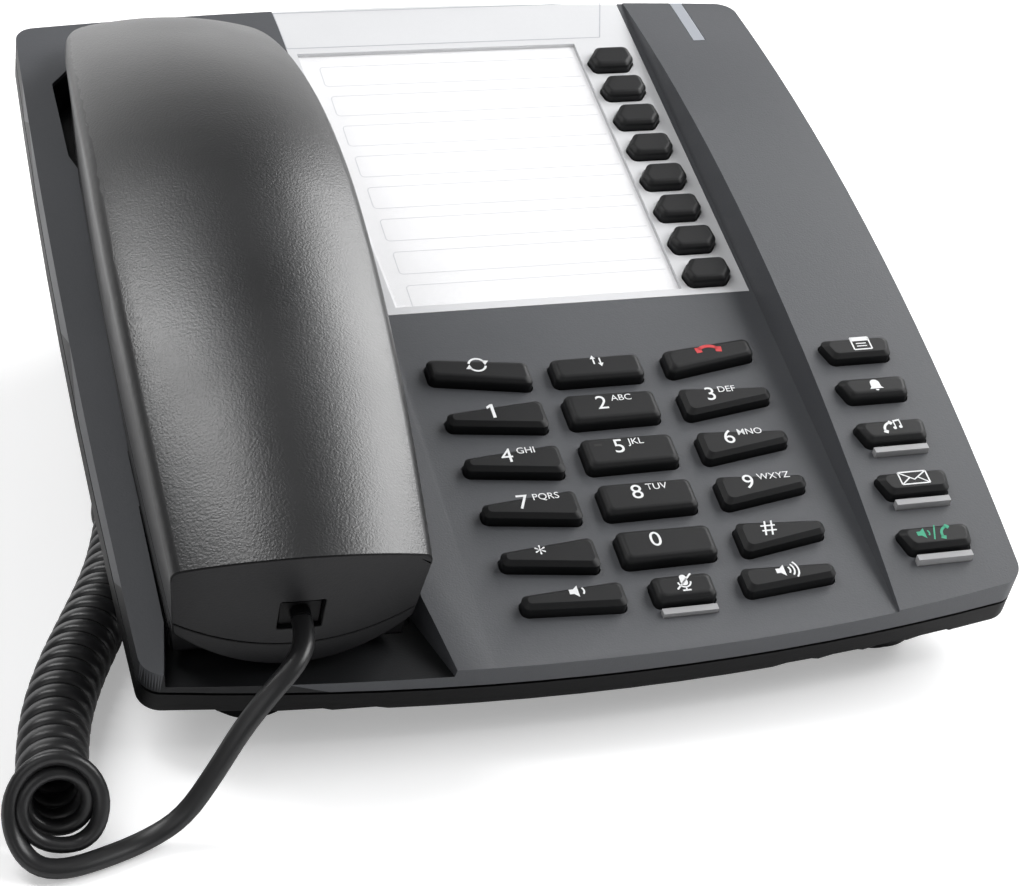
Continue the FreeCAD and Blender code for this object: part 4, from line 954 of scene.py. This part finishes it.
cordShape = {
    "width": 4.2,
    "thickness": 2.7,
    "sectionSteps": 4,
    "turnRadius": 5.5,
    "firstTurnOpens": 1.5,
    "turnPitch": 4.45,
    "turnSteps": 12,
    "turnStart": 270.0,
    "axisSteps": 12,
    "pathSteps": 4,
    "jackExit": (-63.33, -98.83, 34.54),
    "plugRun": (-63.50, -103.90, 33.10),
    "lead": [
        (-66.6, -108.6, 31.2), (-72.0, -111.6, 27.4), (-77.6, -113.8, 21.6),
        (-82.6, -115.6, 14.0), (-88.4, -116.6, 5.4), (-95.6, -118.0, 2.1),
        (-104.0, -121.4, 2.1), (-111.6, -123.4, 2.1), (-116.8, -121.8, 2.6),
    ],
    "ring": [
        (-119.6, -117.8, 5.8), (-120.0, -114.2, 11.4), (-116.9, -112.0, 16.9),
        (-111.4, -111.7, 19.3), (-105.8, -113.0, 17.2), (-103.0, -115.2, 11.8),
        (-104.2, -117.2, 6.2), (-107.4, -117.8, 3.4),
    ],
    "coilAxis": [
        (-111.4, -116.2, 10.6), (-111.2, -109.6, 8.4), (-110.4, -99.8, 7.2),
        (-107.5, -84.3, 7.2), (-102.5, -69.8, 7.2), (-96.5, -56.3, 7.2),
        (-90.5, -42.8, 7.2), (-85.5, -28.8, 7.4), (-82.0, -14.3, 7.4),
    ],
    "tail": [
        (-86.5, -11.5, 2.6), (-86.6, -4.5, 4.0), (-82.5, 3.0, 10.0), (-77.5, 10.5, 26.0),
        (-76.5, 21.05, 37.5),
    ],
    "socketEnd": (-76.5, 31.62, 40.52),
    "followFrom": (-0.0950, -0.1180, 0.002),  # metres, where the lead starts to follow the handset
    "followTo": (-0.0727, -0.1258, 0.002),
}
flatAcross = Vector((1, 0, 0))  # the jacket's width lies this way in both plugs


def metres(points):
    return [Vector(point) * mm for point in points]


def splinePath(points, resolution):
    curve = bpy.data.curves.new("routeLine", "CURVE")
    curve.dimensions = "3D"
    spline = curve.splines.new("NURBS")
    spline.points.add(len(points) - 1)
    for target, point in zip(spline.points, points):
        target.co = (*point, 1.0)
    spline.order_u = 3
    spline.use_endpoint_u = True
    spline.resolution_u = resolution
    holder = bpy.data.objects.new("routeLine", curve)
    line = bpy.data.meshes.new_from_object(holder)
    path = [vertex.co.copy() for vertex in line.vertices]
    bpy.data.objects.remove(holder)
    bpy.data.curves.remove(curve)
    bpy.data.meshes.remove(line)
    return path


def spanLengths(path):
    lengths = [0.0]
    for before, after in zip(path, path[1:]):
        lengths.append(lengths[-1] + (after - before).length)
    return lengths


def pointAt(path, lengths, distance):
    for i in range(1, len(path)):
        if lengths[i] >= distance or i == len(path) - 1:
            share = (distance - lengths[i - 1]) / (lengths[i] - lengths[i - 1])
            return path[i - 1].lerp(path[i], share), (path[i] - path[i - 1]).normalized()


def nearestIndex(path, goal):
    return min(range(len(path)), key=lambda i: (path[i] - goal).length)


def easeInOut(share):
    return share * share * (3 - 2 * share)


def helixPoints(axisPath):
    lengths = spanLengths(axisPath)
    steps = cordShape["turnSteps"]
    turns = int(lengths[-1] / cordShape["turnPitch"] / mm)
    outside = 1 / math.cos(math.pi / steps)  # the spline cuts inside its control points
    points = []
    for i in range(turns * steps + 1):
        distance = lengths[-1] * i / (turns * steps)
        centre, along = pointAt(axisPath, lengths, distance)
        side = along.cross(Vector((0, 0, 1))).normalized()
        up = side.cross(along)
        angle = math.radians(cordShape["turnStart"] + 360.0 * i / steps)
        opening = cordShape["firstTurnOpens"] * max(0.0, 1.0 - i / steps)
        radius = (cordShape["turnRadius"] + opening) * mm * outside
        points.append(centre - side * radius * math.cos(angle) + up * radius * math.sin(angle))
    return points


def carriedFrames(path, firstSide):
    tangents = []
    for i in range(len(path)):
        tangents.append((path[min(i + 1, len(path) - 1)] - path[max(i - 1, 0)]).normalized())
    side = (firstSide - tangents[0] * firstSide.dot(tangents[0])).normalized()
    sides = [side]
    for before, after in zip(tangents, tangents[1:]):
        side = before.rotation_difference(after) @ side
        side = (side - after * side.dot(after)).normalized()
        sides.append(side)
    return tangents, sides


def wantedTwist(side, tangent, wanted):
    flat = (wanted - tangent * wanted.dot(tangent)).normalized()
    return math.atan2(tangent.dot(side.cross(flat)), side.dot(flat))


def nearestTwist(angle, reference):  # a flat jacket looks the same after half a turn
    turns = round((reference - angle) / math.pi)
    return angle + turns * math.pi


def jacketTwists(path, tangents, sides, coilStart, coilEnd, axisPath):
    axisLengths = spanLengths(axisPath)
    twists = [0.0] * len(path)
    reference = 0.0
    for i in range(coilStart, coilEnd + 1):
        share = (i - coilStart) / (coilEnd - coilStart)
        along = pointAt(axisPath, axisLengths, axisLengths[-1] * share)[1]
        reference = nearestTwist(wantedTwist(sides[i], tangents[i], along), reference)
        twists[i] = reference
    for i in range(coilStart):
        twists[i] = twists[coilStart] * easeInOut(i / coilStart)
    last = nearestTwist(wantedTwist(sides[-1], tangents[-1], flatAcross), reference)
    tailSteps = len(path) - 1 - coilEnd
    for i in range(coilEnd + 1, len(path)):
        twists[i] = reference + (last - reference) * easeInOut((i - coilEnd) / tailSteps)
    return twists


def jacketSection():
    halfWidth = cordShape["width"] * mm / 2
    halfThick = cordShape["thickness"] * mm / 2
    steps = cordShape["sectionSteps"]
    points = []
    for centre, start in ((halfWidth - halfThick, -90.0), (halfThick - halfWidth, 90.0)):
        for i in range(steps + 1):
            angle = math.radians(start + 180.0 * i / steps)
            points.append((centre + halfThick * math.cos(angle), halfThick * math.sin(angle)))
    return points


def jacketMesh(path, tangents, sides, twists):
    section = jacketSection()
    size = len(section)
    vertices = []
    for centre, tangent, side, twist in zip(path, tangents, sides, twists):
        across = Matrix.Rotation(twist, 3, tangent) @ side
        out = tangent.cross(across)
        vertices += [centre + across * a + out * b for a, b in section]
    faces = [list(range(size))[::-1]]
    for ring in range(len(path) - 1):
        near = ring * size
        far = near + size
        for i in range(size):
            following = (i + 1) % size
            faces.append([near + i, near + following, far + following, far + i])
    faces.append([(len(path) - 1) * size + i for i in range(size)])
    mesh = bpy.data.meshes.new("handsetCord")
    mesh.from_pydata(vertices, [], faces)
    return mesh


def makeCord():
    axisPath = splinePath(metres(cordShape["coilAxis"]), cordShape["axisSteps"])
    helix = helixPoints(axisPath)
    lead = [cordShape["jackExit"], cordShape["plugRun"]] + cordShape["lead"] + cordShape["ring"]
    tail = cordShape["tail"] + [cordShape["socketEnd"]]
    path = splinePath(metres(lead) + helix + metres(tail), cordShape["pathSteps"])
    halfTurn = cordShape["turnSteps"] // 2
    coilStart = nearestIndex(path, helix[halfTurn])
    coilEnd = nearestIndex(path, helix[-halfTurn])
    tangents, sides = carriedFrames(path, flatAcross)
    twists = jacketTwists(path, tangents, sides, coilStart, coilEnd, axisPath)
    cord = bpy.data.objects.new("handsetCord", jacketMesh(path, tangents, sides, twists))
    scene.collection.objects.link(cord)
    makeActive(cord)
    bpy.ops.object.mode_set(mode="EDIT")
    bpy.ops.mesh.select_all(action="SELECT")
    bpy.ops.mesh.normals_make_consistent(inside=False)
    bpy.ops.object.mode_set(mode="OBJECT")
    bpy.ops.object.shade_smooth_by_angle(angle=math.radians(softening["smoothBelow"]))
    dressNode(cord, "cordJacket")
    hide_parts("cord_lead", "cord_coil", "cord_tail")
    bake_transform(cord)


makeCord()
